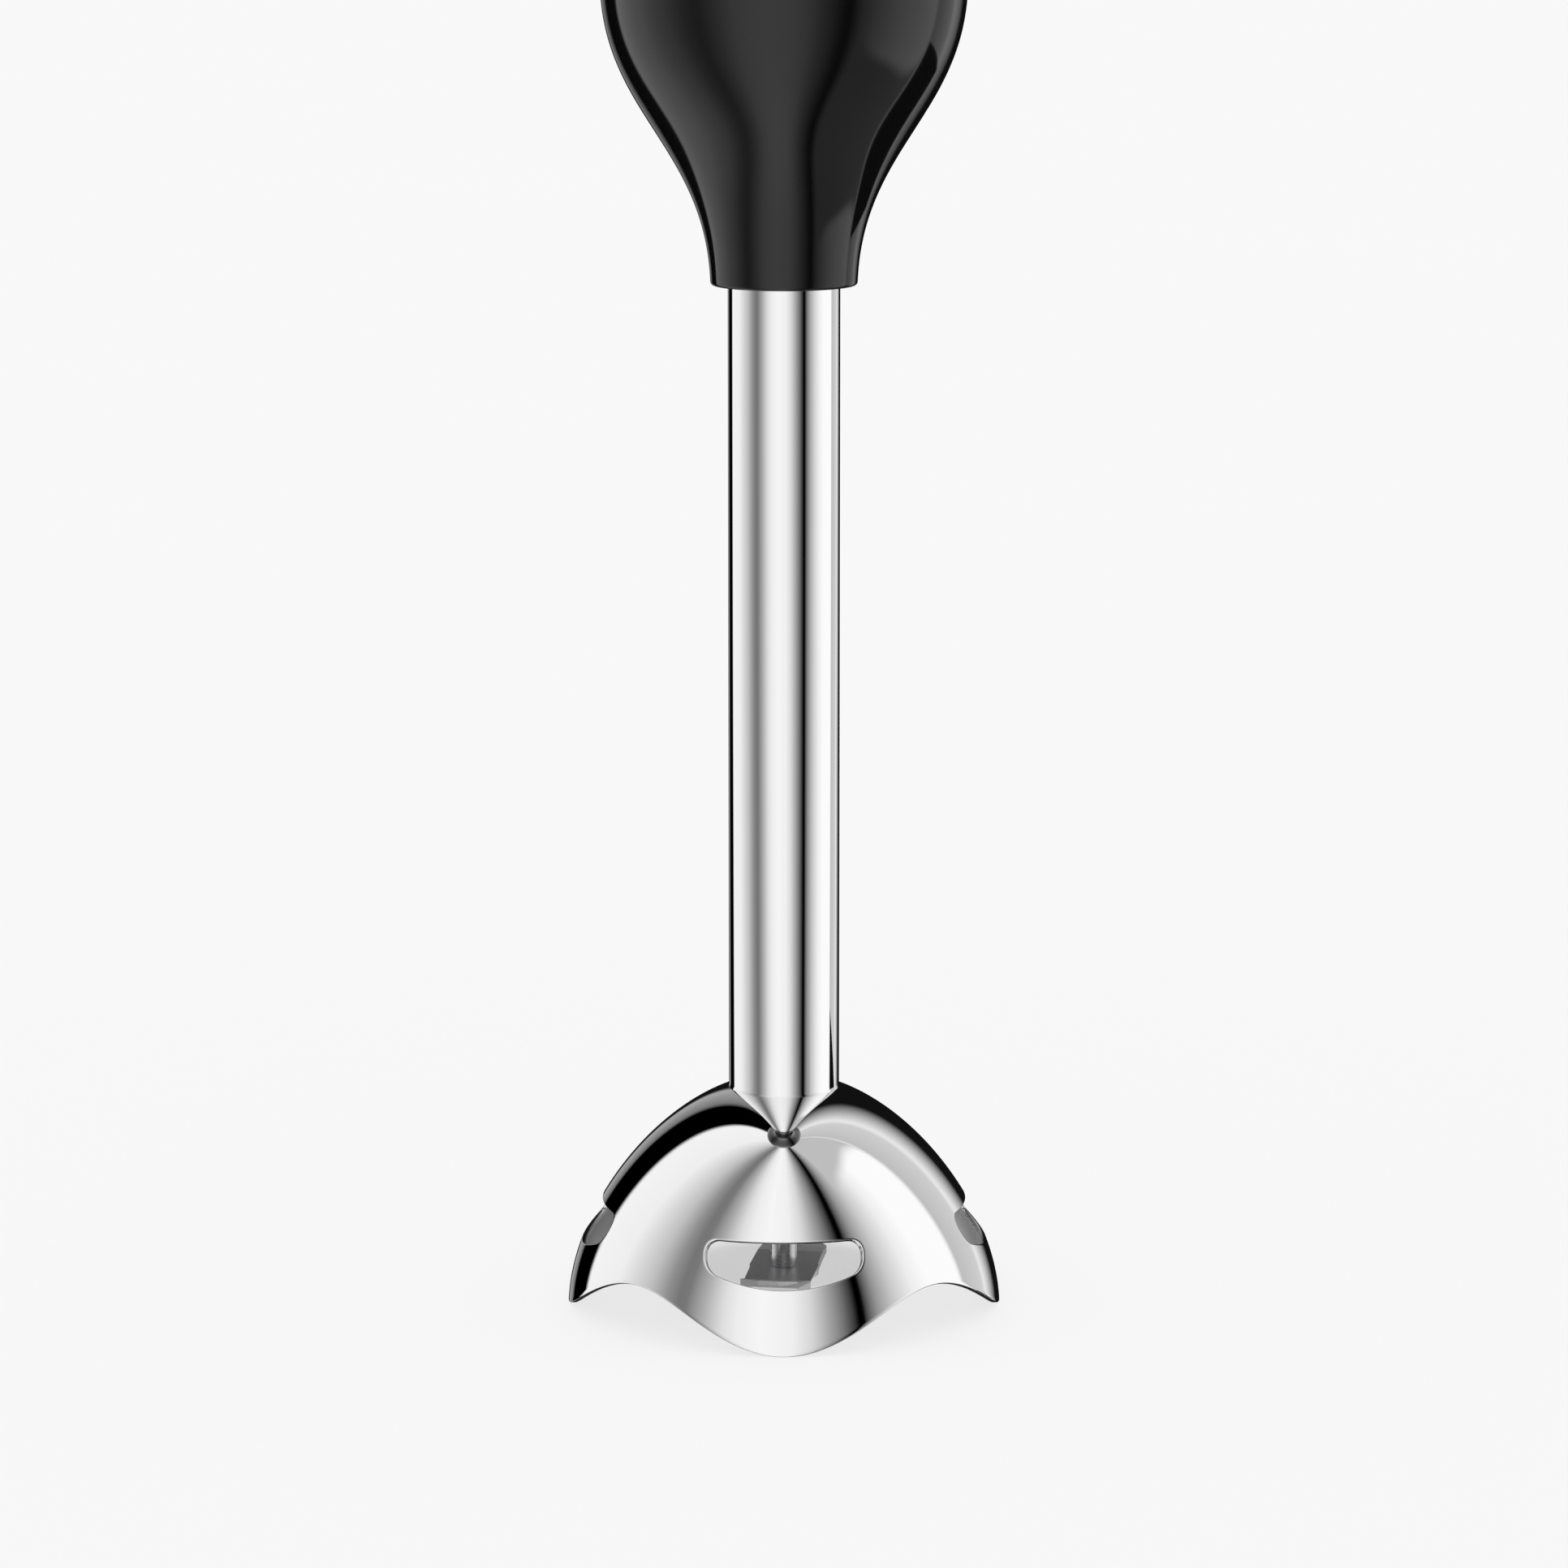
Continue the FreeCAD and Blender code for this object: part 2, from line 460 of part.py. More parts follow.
def make_housing():
    inside = inner_space()
    rib = ring(12.05, 30, 301.5, 304.5).common(inside)
    stop = ring(22.0, 30, 209.2, 211.0).common(inside)
    channel = block(13, 22, -5.6, 5.6, 296, 310)
    strip_way = block(17, 23, -4, 4, 208, 212)
    ribs = joined(rib, stop).cut(Part.makeCompound([channel, mirrored(channel), strip_way, mirrored(strip_way)]))
    release = slab(RELEASE_SIZE[0] + 0.6, RELEASE_SIZE[1] + 0.6, 4.3, -40, 0, RELEASE_LEVEL)
    releases = [turned_by(release, 90), turned_by(release, -90)]

    places = [(x, z) for z in SCREW_LEVELS for x in (-SCREW_X, SCREW_X)]
    front_half, rear_half = block(-40, 40, -40, 0, 200, 400), block(-40, 40, 0, 40, 200, 400)
    bosses = [cross_rod(3.6, -25, 0, x, z).common(inside) for x, z in places]
    front = joined(skin(-WALL, 0, -180), ribs.common(front_half), *bosses)
    pilots = [cross_rod(1.2, -6, 1, x, z) for x, z in places]
    on = slab(ON_SIZE[0] + 0.6, ON_SIZE[1] + 0.6, 5.8, -40, -10, ON_LEVEL)
    turbo = slab(TURBO_SIZE[0] + 0.6, TURBO_SIZE[1] + 0.6, 5.8, -40, -10, TURBO_LEVEL)
    recess = skin(-1.0, 2.0).common(grip_slab(-40, 0))
    front = front.cut(Part.makeCompound(pilots + releases)).cut(Part.makeCompound([on, turbo])).cut(recess)
    keep("housing_front", front)

    bosses = [cross_rod(3.6, 0, 25, x, z).common(inside) for x, z in places]
    rear = joined(skin(-WALL, 0, 180), ribs.common(rear_half), *bosses)
    bores = [cross_rod(1.4, -1, 12, x, z) for x, z in places] + [cross_rod(2.9, 11, 30, x, z) for x, z in places]
    rear_recess = skin(-1.0, 2.0).common(rear_slab(0, 40))
    keep("housing_rear", rear.cut(Part.makeCompound(bores)).cut(Part.makeCompound(releases + vents()))
         .cut(rear_recess))
    screw = pan_screw(1.2, 2.6, 0, 16, 17.8)
    screw.rotate(ORIGIN, V(1, 0, 0), -90)
    screws = []
    for x, z in places:
        copy = screw.copy()
        copy.translate(V(x, -5, z))
        screws.append(copy)
    keep("housing_screws", *screws)

    openings = [slab(ON_SIZE[0] + 1.8, ON_SIZE[1] + 1.8, 6.4, -40, -10, ON_LEVEL),
                slab(TURBO_SIZE[0] + 1.8, TURBO_SIZE[1] + 1.8, 6.4, -40, -10, TURBO_LEVEL)]
    grip = skin(-1.0, 0.35).common(grip_slab(-40, 0)).cut(Part.makeCompound(openings))
    keep("front_grip", grip)
    rear_grip = skin(-1.0, 0.35).common(rear_slab(0, 40))
    bars = [skin(0.2, 0.9).common(slab(20.0, 2.2, 1.05, 0, 40, 329.0 + 6.0 * n)) for n in range(7)]
    keep("rear_grip", joined(rear_grip, *bars))


# ---------------------------------------------------------------- controls
def push_button(size, corner, face, back, level):
    """A cap that fills its opening, with a wider flange inside that holds it in the housing."""
    cap = slab(size[0], size[1], corner, -40, -10, level).common(ring(back, face, 200, 400))
    flange = slab(size[0] + 3, size[1] + 3, corner + 1, -40, -5, level).common(ring(back - 1.2, back, 200, 400))
    return cap, flange


def make_buttons():
    springs = []
    switches = []
    for name, size, level in (("on_button", ON_SIZE, ON_LEVEL), ("turbo_button", TURBO_SIZE, TURBO_LEVEL)):
        cap, flange = push_button(size, 5.5, 23.1, 19.7, level)
        stem = block(-1.8, 1.8, -19, -9.4, level - 1.8, level + 1.8)
        keep(name, joined(cap, flange, stem))
        springs.append(coil_spring(3.1, 0.35, 5, -17.7, -6.45, 0, level))
        body = block(-4.2, 4.2, -6, 4, level - 6, level + 6)
        switches.append(joined(body, block(-1, 1, -7.2, -5, level - 1.5, level + 1.5)))
    keep("button_springs", *springs)
    keep("micro_switches", *switches)
    for name, side in (("release_button_left", -90), ("release_button_right", 90)):
        cap, flange = push_button(RELEASE_SIZE, 4.0, 27.2, 23.1, RELEASE_LEVEL)
        keep(name, turned_by(joined(cap, flange), side))


def make_electronics():
    board = block(-11.5, 11.5, 4.0, 5.6, 318.5, 374.0)
    keep("circuit_board", board.cut(block(9, 12, 3, 7, 318, 322)).cut(block(-12, -9, 3, 7, 318, 322)))
    keep("film_capacitor", slab(14.0, 17.0, 1.2, 5.6, 13.0, 329.0))
    base = block(-9.5, 9.5, 5.6, 7.4, 341.0, 355.0)
    fins = [block(-9.5 + 3.5 * n, -8.1 + 3.5 * n, 7.0, 12.8, 341.0, 355.0) for n in range(6)]
    keep("heat_sink", joined(base, *fins))
    keep("triac", block(-3.0, 3.0, 5.6, 9.6, 356.2, 360.2))
    choke = Part.makeTorus(3.6, 1.7, V(0, 7.3, 367.0), V(0, 1, 0))
    keep("choke_coil", choke)


def arc_slot(radius, half_width, start, sweep, low, high):
    """A slot along a circle round the main axis, with round ends, as the solid to cut away."""
    band = ring(radius - half_width, radius + half_width, low, high)
    open_from = start + sweep
    gap = 360.0 - sweep
    wedge_points = [V(0, 0, low - 1)]
    steps = 4
    for n in range(steps + 1):
        a = math.radians(open_from + gap * n / steps)
        wedge_points.append(V(60 * math.cos(a), 60 * math.sin(a), low - 1))
    wedge = Part.Face(Part.makePolygon(wedge_points + wedge_points[:1])).extrude(V(0, 0, high - low + 2))
    ends = [turned_by(rod(half_width, low, high, radius), a) for a in (start, start + sweep)]
    return joined(band.cut(wedge), *ends)


def make_top():
    dial_at, pin = 16.0, 1.2
    cap = turned((6.2, 389.0), (18.5, 389.0), (18.5, 387.2), (20.6, 387.2), (20.6, HOUSING_TOP), (23.2, HOUSING_TOP),
                 (23.2, 393.2), (22.9, 393.5), (11.0, 393.5), (11.0, 405.0), (6.2, 405.0))
    keep("top_cap", cap.cut(arc_slot(dial_at, pin + 0.2, DIAL_START, DIAL_TURN, 388, 395)))
    dial = turned((11.3, 393.9), (22.4, 393.9), (23.0, 394.5), (22.4, 402.8), (21.0, 404.4), (11.3, 404.4))
    flutes = around(rod(1.5, 390, 410, 23.7), 24, 7.5)
    finger = cross_rod(1.0, -23.5, -14, 0, 405.0)
    dial = dial.cut(Part.makeCompound(flutes)).cut(finger)
    pin_rod = turned_by(rod(pin, 388.6, 394.5, dial_at), DIAL_START)
    keep("speed_dial", joined(dial, pin_rod))
    keep("dial_wiper", ring(13.4, 17.6, 387.0, 388.6))
    keep("speed_potentiometer", ring(13.0, 18.0, 385.2, 386.8))
    dome = [line((7.7, 405.0), (15.8, 405.0)), line((15.8, 405.0), (15.8, 405.6)),
            bezier((15.8, 405.6), (15.0, 408.2), (11.5, 409.4), (7.7, 409.5)), line((7.7, 409.5), (7.7, 405.0))]
    keep("crown_cap", spun(dome))
    gland = turned((CORD_HOLE_RADIUS, 391.0), (6.15, 391.0), (6.15, 405.0), (7.5, 405.0), (7.5, 410.0),
                   (6.9, 412.4), (6.3, 413.0), (CORD_HOLE_RADIUS, 413.0))
    keep("cord_gland", gland)


# ---------------------------------------------------------------- everything
make_guard_and_tube()
make_blade_drive()
make_collar()
make_spigot()
make_field()
make_rotor()
make_motor_bearings()
make_brush_gear()
make_housing()
make_buttons()
make_electronics()
make_top()

os.makedirs("parts", exist_ok=True)
for node, shape in PARTS.items():
    shape.exportStep("parts/" + node + ".step")
    print(node, len(shape.Solids), "solids", round(shape.Volume), "mm3", "valid" if shape.isValid() else "INVALID")
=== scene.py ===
"""Looks of a hand-held immersion blender, built round its CAD frame.

The frame gives every size and place, in metres, with Z up the shaft and the buttons facing -Y.
Each operator makes one piece or one group of like pieces, as surfaces worked out with numpy.
"""

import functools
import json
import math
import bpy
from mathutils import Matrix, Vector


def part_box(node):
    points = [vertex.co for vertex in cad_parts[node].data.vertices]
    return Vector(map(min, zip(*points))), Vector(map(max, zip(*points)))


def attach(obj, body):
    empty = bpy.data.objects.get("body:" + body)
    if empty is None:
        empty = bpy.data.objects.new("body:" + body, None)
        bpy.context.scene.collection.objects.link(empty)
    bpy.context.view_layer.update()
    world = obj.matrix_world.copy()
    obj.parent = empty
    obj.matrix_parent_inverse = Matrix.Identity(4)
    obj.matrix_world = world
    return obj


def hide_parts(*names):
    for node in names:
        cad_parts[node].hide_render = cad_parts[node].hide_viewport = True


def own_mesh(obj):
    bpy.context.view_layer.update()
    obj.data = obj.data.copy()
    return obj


bl_info = {
    "name": "Immersion blender",
    "version": (1, 0, 0),
    "blender": (4, 5, 0),
    "location": "3D View > Sidebar > Immersion blender",
    "description": "Builds the visible pieces of an immersion blender round its CAD frame",
    "category": "Add Mesh",
}

import bmesh
import bpy
import numpy as np
from bpy.props import FloatProperty, FloatVectorProperty, IntProperty, PointerProperty

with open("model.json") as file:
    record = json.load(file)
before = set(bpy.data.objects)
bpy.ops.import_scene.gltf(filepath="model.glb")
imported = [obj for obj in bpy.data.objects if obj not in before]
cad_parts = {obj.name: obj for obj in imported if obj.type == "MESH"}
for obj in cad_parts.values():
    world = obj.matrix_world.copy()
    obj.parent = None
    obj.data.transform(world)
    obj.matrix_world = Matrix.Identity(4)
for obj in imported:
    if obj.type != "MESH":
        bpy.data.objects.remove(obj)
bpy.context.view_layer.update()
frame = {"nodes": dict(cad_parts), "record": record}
MM = 0.001
SLOTS = {part["node"]: part["material_slot"] for part in frame["record"]["subparts"]}


# ---- outlines
def bezier(poles, count, start=0.0, end=1.0):
    """Points of a cubic Bezier curve: the poles weighted by the third-degree Bernstein polynomials."""
    t = np.linspace(start, end, count)[:, None]
    a, b, c, d = np.asarray(poles, float)
    return (1 - t) ** 3 * a + 3 * t * (1 - t) ** 2 * b + 3 * t * t * (1 - t) * c + t ** 3 * d


def rounded(corners, steps=4):
    """A closed outline from (x, y, radius) corners. Each corner gives way to a tangent arc of its radius:
    the arc starts and ends radius / tan(half the inner angle) from the corner."""
    rows = np.asarray(corners, float)
    here, radius = rows[:, :2], rows[:, 2]
    before = np.roll(here, 1, 0) - here
    after = np.roll(here, -1, 0) - here
    before /= np.linalg.norm(before, axis=1)[:, None]
    after /= np.linalg.norm(after, axis=1)[:, None]
    middle = before + after
    middle /= np.maximum(np.linalg.norm(middle, axis=1), 1e-9)[:, None]
    half = np.arccos(np.clip((before * after).sum(1), -1, 1)) / 2
    centre = here + middle * (radius / np.sin(half))[:, None]
    start = here + before * (radius / np.tan(half))[:, None] - centre
    end = here + after * (radius / np.tan(half))[:, None] - centre
    first = np.arctan2(start[:, 1], start[:, 0])
    turn = np.arctan2(end[:, 1], end[:, 0]) - first
    turn = (turn + np.pi) % (2 * np.pi) - np.pi
    t = np.linspace(0, 1, steps)
    angle = first[:, None] + turn[:, None] * t
    arcs = centre[:, None, :] + radius[:, None, None] * np.stack([np.cos(angle), np.sin(angle)], -1)
    return arcs.reshape(-1, 2)


def resampled(line, count, closed=False):
    """Points at equal steps of length along a line, its ends kept."""
    line = np.asarray(line, float)
    if closed:
        line = np.vstack([line, line[:1]])
    run = np.r_[0, np.cumsum(np.linalg.norm(np.diff(line, axis=0), axis=1))]
    at = np.linspace(0, run[-1], count, endpoint=not closed)
    return np.stack([np.interp(at, run, line[:, k]) for k in range(line.shape[1])], -1)


def divided(outline, steps, counts):
    """An outline from rounded, whose arcs have a number of steps, with the straight after each arc divided into
    a count of equal parts."""
    arcs = outline.reshape(-1, steps, 2)
    straights = [np.linspace(arc[-1], corner, count + 1)[1:-1]
                 for arc, corner, count in zip(arcs, np.roll(arcs[:, 0], -1, 0), counts)]
    return np.vstack([part for pair in zip(arcs, straights) for part in pair])


# ---- meshes
def grid_faces(rows, columns, wrap_rows, wrap_columns, first):
    """Corner numbers of the quads of a grid whose points are numbered row by row."""
    r = np.arange(rows if wrap_rows else rows - 1)[:, None]
    c = np.arange(columns if wrap_columns else columns - 1)[None, :]
    below, beside = (r + 1) % rows, (c + 1) % columns
    quads = np.stack([r * columns + c, r * columns + beside, below * columns + beside, below * columns + c], -1)
    return quads.reshape(-1, 4) + first


def smooth(mesh, angle):
    """Shades a mesh smooth but for edges sharper than an angle in degrees."""
    mesh.shade_smooth()
    mesh.set_sharp_from_angle(angle=math.radians(angle))


def grid_object(name, grids, smooth_angle=35):
    """One mesh from several (points, wrap_rows, wrap_columns) grids, which share their borders. Its doubles are
    merged."""
    points, faces, first = [], [], 0
    for grid, wrap_rows, wrap_columns in grids:
        rows, columns = grid.shape[:2]
        points.append(grid.reshape(-1, 3))
        faces.append(grid_faces(rows, columns, wrap_rows, wrap_columns, first))
        first += rows * columns
    mesh = bpy.data.meshes.new(name)
    mesh.from_pydata(np.vstack(points), [], np.vstack(faces).tolist())
    work = bmesh.new()
    work.from_mesh(mesh)
    bmesh.ops.remove_doubles(work, verts=work.verts, dist=0.002 * MM)
    work.to_mesh(mesh)
    work.free()
    smooth(mesh, smooth_angle)
    made = bpy.data.objects.new(name, mesh)
    bpy.context.scene.collection.objects.link(made)
    return made


def spun(outline, segments):
    """A grid of revolution: point (r, z) of the outline at angle a is (r cos a, r sin a, z)."""
    outline = np.asarray(outline, float) * MM
    a = np.linspace(0, 2 * np.pi, segments, endpoint=False)
    r, z = outline[:, :1], outline[:, 1:]
    return np.stack([r * np.cos(a), r * np.sin(a), z + 0 * a], -1), True, True


def lathe(name, outline, segments=128, smooth_angle=35):
    """A solid of revolution from a closed (r, z) outline that runs anticlockwise, in millimetres."""
    return grid_object(name, [spun(outline, segments)], smooth_angle)


def finish_piece(piece, body, *nodes):
    """The piece rides on its body, stands for its CAD nodes and takes the finish of the first one's slot."""
    slot = SLOTS[nodes[0]]
    piece.data.materials.clear()
    piece.data.materials.append(finish_for(slot))
    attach(piece, body)
    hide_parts(*nodes)
    return piece


# ---- materials
def feed(owner, socket, value):
    """Gives a socket of a material or world a value, or a link from an output."""
    if isinstance(value, bpy.types.NodeSocket):
        owner.node_tree.links.new(value, socket)
    else:
        socket.default_value = value


def node(owner, kind, **inputs):
    """A new node of a material or world, with its inputs fed. Their names have _ for a space."""
    made = owner.node_tree.nodes.new(kind)
    for socket, value in inputs.items():
        feed(owner, made.inputs[socket.replace("_", " ")], value)
    return made


def math_node(owner, operation, *values):
    """A calculation on one or two numbers or outputs."""
    made = node(owner, "ShaderNodeMath")
    made.operation = operation
    for socket, value in zip(made.inputs, values):
        feed(owner, socket, value)
    return made.outputs[0]


def mixed(owner, factor, first, second):
    """A colour that runs from first to second with a factor."""
    mix = node(owner, "ShaderNodeMix")
    mix.data_type = "RGBA"
    for socket, value in (("Factor", factor), ("A", first), ("B", second)):
        feed(owner, mix.inputs[socket], value)
    return mix.outputs["Result"]


def shader(name, color, metallic=0.0, roughness=0.4, **sockets):
    """A material and its Principled shader, with constant values on the shader's own sockets."""
    material = bpy.data.materials.new(name)
    material.use_nodes = True
    bsdf = material.node_tree.nodes["Principled BSDF"]
    sockets = {"Base Color": (*color, 1), "Metallic": metallic, "Roughness": roughness, **sockets}
    for socket, value in sockets.items():
        bsdf.inputs[socket.replace("_", " ")].default_value = value
    return material, bsdf


def object_place(material):
    """Object coordinates."""
    return node(material, "ShaderNodeTexCoord").outputs["Object"]


def object_noise(material, scale, stretch=(1, 1, 1)):
    """Noise read from Object coordinates, stretched along the axes."""
    mapping = node(material, "ShaderNodeMapping", Vector=object_place(material), Scale=stretch)
    noise = node(material, "ShaderNodeTexNoise", Vector=mapping.outputs["Vector"], Scale=scale, Detail=3.0)
    return noise.outputs["Fac"]


def spread(material, value, low, high):
    """A 0 to 1 value stretched to run from low to high."""
    return node(material, "ShaderNodeMapRange", Value=value, To_Min=low, To_Max=high).outputs["Result"]


def bump(material, bsdf, height, strength, distance=0.0001):
    """Relief on a material's shader, from a height and how far it stands out."""
    made = node(material, "ShaderNodeBump", Strength=strength, Distance=distance, Height=height)
    feed(material, bsdf.inputs["Normal"], made.outputs["Normal"])


def tinted(material, bsdf, value, dark, light):
    """The base colour runs from dark to light with a value."""
    feed(material, bsdf.inputs["Base Color"], mixed(material, value, (*dark, 1), (*light, 1)))


def metal(name, color, roughness, scale, stretch=(1, 1, 1), relief=0.0, shade=0.85, **sockets):
    """A metal whose colour, roughness and relief follow one noise, stretched along its grain."""
    material, bsdf = shader(name, color, 1.0, roughness[0], **sockets)
    grain = object_noise(material, scale, stretch)
    feed(material, bsdf.inputs["Roughness"], spread(material, grain, *roughness))
    tinted(material, bsdf, grain, [c * shade for c in color], color)
    if relief:
        bump(material, bsdf, grain, relief)
    return material


def plastic(name, color, roughness, scale=900, relief=0.05, lighter=1.25, **sockets):
    """A moulded plastic or rubber: clouds of slightly lighter colour, and a fine grain in gloss and relief."""
    material, bsdf = shader(name, color, 0.0, roughness[0], **sockets)
    clouds = object_noise(material, 45)
    grain = object_noise(material, scale)
    tinted(material, bsdf, clouds, color, [min(c * lighter, 1) for c in color])
    feed(material, bsdf.inputs["Roughness"], spread(material, grain, *roughness))
    bump(material, bsdf, grain, relief)
    return material


def striped(name, dark, light, metallic, roughness, scale, relief):
    """Even stripes across the shaft's axis, with a little waver: wound wire or stacked sheets."""
    material, bsdf = shader(name, light, metallic, roughness)
    wave = node(material, "ShaderNodeTexWave", Vector=object_place(material), Scale=scale, Distortion=0.6,
                Detail=1.0, Detail_Scale=2.0)
    wave.bands_direction = "Z"
    tinted(material, bsdf, wave.outputs["Fac"], dark, light)
    bump(material, bsdf, wave.outputs["Fac"], relief, 0.0002)
    return material


def polished_steel():
    """Stainless steel, a mirror with a faint polishing haze, but satin where the "inside" attribute is 1, and
    darker there too: painted shade inside the guard.
    """
    color = bpy.context.scene.hand_blender_colors.steel
    material, bsdf = shader("mirror_steel", color, 1.0, 0.03)
    haze = spread(material, object_noise(material, 60, (1, 1, 6)), 0.015, 0.04)
    inside = node(material, "ShaderNodeAttribute")
    inside.attribute_name = "inside"
    rough = node(material, "ShaderNodeMix", Factor=inside.outputs["Fac"], A=haze, B=0.42)
    feed(material, bsdf.inputs["Roughness"], rough.outputs["Result"])
    # painted shade: on the inner face the steel's colour is darkened to 0.69 of itself
    tinted(material, bsdf, inside.outputs["Fac"], color, [c * 0.69 for c in color])
    return material


def black_gloss():
    """Moulded black plastic with a high gloss and a faint orange-peel surface."""
    color = bpy.context.scene.hand_blender_colors.plastic
    material, bsdf = shader("black_gloss", color, 0.0, 0.06, IOR=1.5)
    feed(material, bsdf.inputs["Roughness"], spread(material, object_noise(material, 90), 0.05, 0.09))
    tinted(material, bsdf, object_noise(material, 45), [c * 0.8 for c in color], [c * 1.2 for c in color])
    bump(material, bsdf, object_noise(material, 220), 0.03)
    return material


def board_green():
    """A printed board: solder mask over a net of copper tracks with straight edges."""
    material, bsdf = shader("board_green", (0.02, 0.12, 0.05), 0.0, 0.35)
    turn = node(material, "ShaderNodeMapping", Vector=object_place(material), Rotation=(math.pi / 2, 0, 0))
    bricks = node(material, "ShaderNodeTexBrick", Vector=turn.outputs["Vector"], Scale=160.0, Mortar_Size=0.06,
                  Color1=(0.01, 0.09, 0.035, 1), Color2=(0.015, 0.13, 0.05, 1), Mortar=(0.06, 0.26, 0.10, 1))
    feed(material, bsdf.inputs["Base Color"], bricks.outputs["Color"])
    bump(material, bsdf, bricks.outputs["Fac"], 0.2)
    return material


# how each of the record's material slots is finished
FINISHES = {
    "polished_steel": polished_steel,
    "steel": lambda: metal("machined_steel", (0.66, 0.66, 0.67), (0.18, 0.34), 420, (1, 1, 8), 0.06),
    "blade_steel": lambda: metal("ground_steel", (0.80, 0.80, 0.81), (0.30, 0.45), 260, (1, 9, 1), 0.08, 0.85,
                                 Metallic=0.5),
    "trim_steel": lambda: metal("trim_steel", (0.86, 0.86, 0.87), (0.05, 0.12), 200, (1, 1, 12)),
    "bronze": lambda: metal("sintered_bronze", (0.55, 0.33, 0.16), (0.35, 0.55), 2200, relief=0.25),
    "brass_parts": lambda: metal("pressed_brass", (0.74, 0.54, 0.24), (0.20, 0.34), 300),
    "copper": lambda: striped("wound_copper", (0.22, 0.06, 0.02), (0.78, 0.33, 0.17), 1.0, 0.28, 620, 0.5),
    "laminations": lambda: striped("stacked_sheets", (0.05, 0.05, 0.055), (0.24, 0.24, 0.25), 0.9, 0.5, 560, 0.4),
    "black_plastic": black_gloss,
    "button_plastic": lambda: plastic("button_grey", bpy.context.scene.hand_blender_colors.buttons,
                                      (0.22, 0.32), 700, 0.04),
    "grey_plastic": lambda: plastic("moulded_grey", (0.11, 0.11, 0.115), (0.40, 0.55)),
    "white_plastic": lambda: plastic("natural_nylon", (0.72, 0.71, 0.67), (0.34, 0.48), 700, 0.05, 1.08),
    "black_rubber": lambda: plastic("soft_rubber", bpy.context.scene.hand_blender_colors.rubber,
                                    (0.50, 0.68), 1500, 0.18, 1.5),
    "carbon": lambda: plastic("pressed_carbon", (0.025, 0.025, 0.027), (0.45, 0.62), 2500, 0.3, 1.8),
    "board": board_green,
    "capacitor": lambda: plastic("film_capacitor_case", (0.62, 0.27, 0.02), (0.25, 0.38), 500, 0.05, 1.15),
    "heat_sink_metal": lambda: metal("extruded_aluminium", (0.72, 0.73, 0.75), (0.28, 0.45), 500, (1, 12, 1),
                                     0.08),
}


@functools.cache
def finish_for(slot):
    """The material of a slot, made the first time that it is asked for."""
    return FINISHES[slot]()


# ---- settings
def length(name, description, default):
    """A size that a user may change, in metres."""
    return FloatProperty(name=name, description=description, default=default, unit="LENGTH")


def color_setting(name, description, grey):
    """A colour that a user may change, a neutral grey to start with."""
    return FloatVectorProperty(name=name, description=description, subtype="COLOR", size=3, min=0, max=1,
                               default=(grey, grey, grey))


class StudioSettings(bpy.types.PropertyGroup):
    """Where the camera stands, and the backdrop"""
    camera_distance: length("Camera distance", "How far the camera stands in front of the shaft's axis", 0.8438)
    camera_height: length("Camera height", "Height of the camera above the floor", 0.2313)
    aim_height: length("Aim height", "Height of the point on the axis that the camera looks at", 0.0789)
    lens: FloatProperty(
        name="Lens", description="Focal length of the camera in millimetres", default=132.5, unit="CAMERA")
    backdrop: FloatProperty(
        name="Backdrop", description="Brightness of the plain pale floor and backdrop", default=0.94,
        min=0, max=1, subtype="FACTOR")


class GuardSettings(bpy.types.PropertyGroup):
    """Sizes of the blade guard"""
    wave: length("Wave", "Half the height of the waves along the rim", 4.0 * MM)
    sheet: length("Sheet", "Thickness of the guard's pressed steel", 0.95 * MM)
    columns: IntProperty(
        name="Columns", description="Mesh columns over one window's quarter of the guard", default=80)


class HandleSettings(bpy.types.PropertyGroup):
    """Sizes of the handle"""
    wall: length("Wall", "Thickness of the housing's moulded wall", 2.4 * MM)


class ColorSettings(bpy.types.PropertyGroup):
    """Colours of the visible finishes"""
    steel: color_setting("Steel", "Colour of the polished tube and blade guard", 0.93)
    plastic: color_setting("Plastic", "Colour of the glossy collar and handle", 0.0037)
    buttons: color_setting("Buttons", "Colour of the on, turbo and release buttons", 0.056)
    rubber: color_setting("Rubber", "Colour of the soft grips and of the cord's gland", 0.0162)


# ---- blade guard
GUARD_POLES = [(8.25, 33.0), (20.76, 28.5), (31.96, 12.83), (32.5, 0.0)]
CROWN_EDGE = 20.0  # height where the crown's rings give way to the quarters round the windows


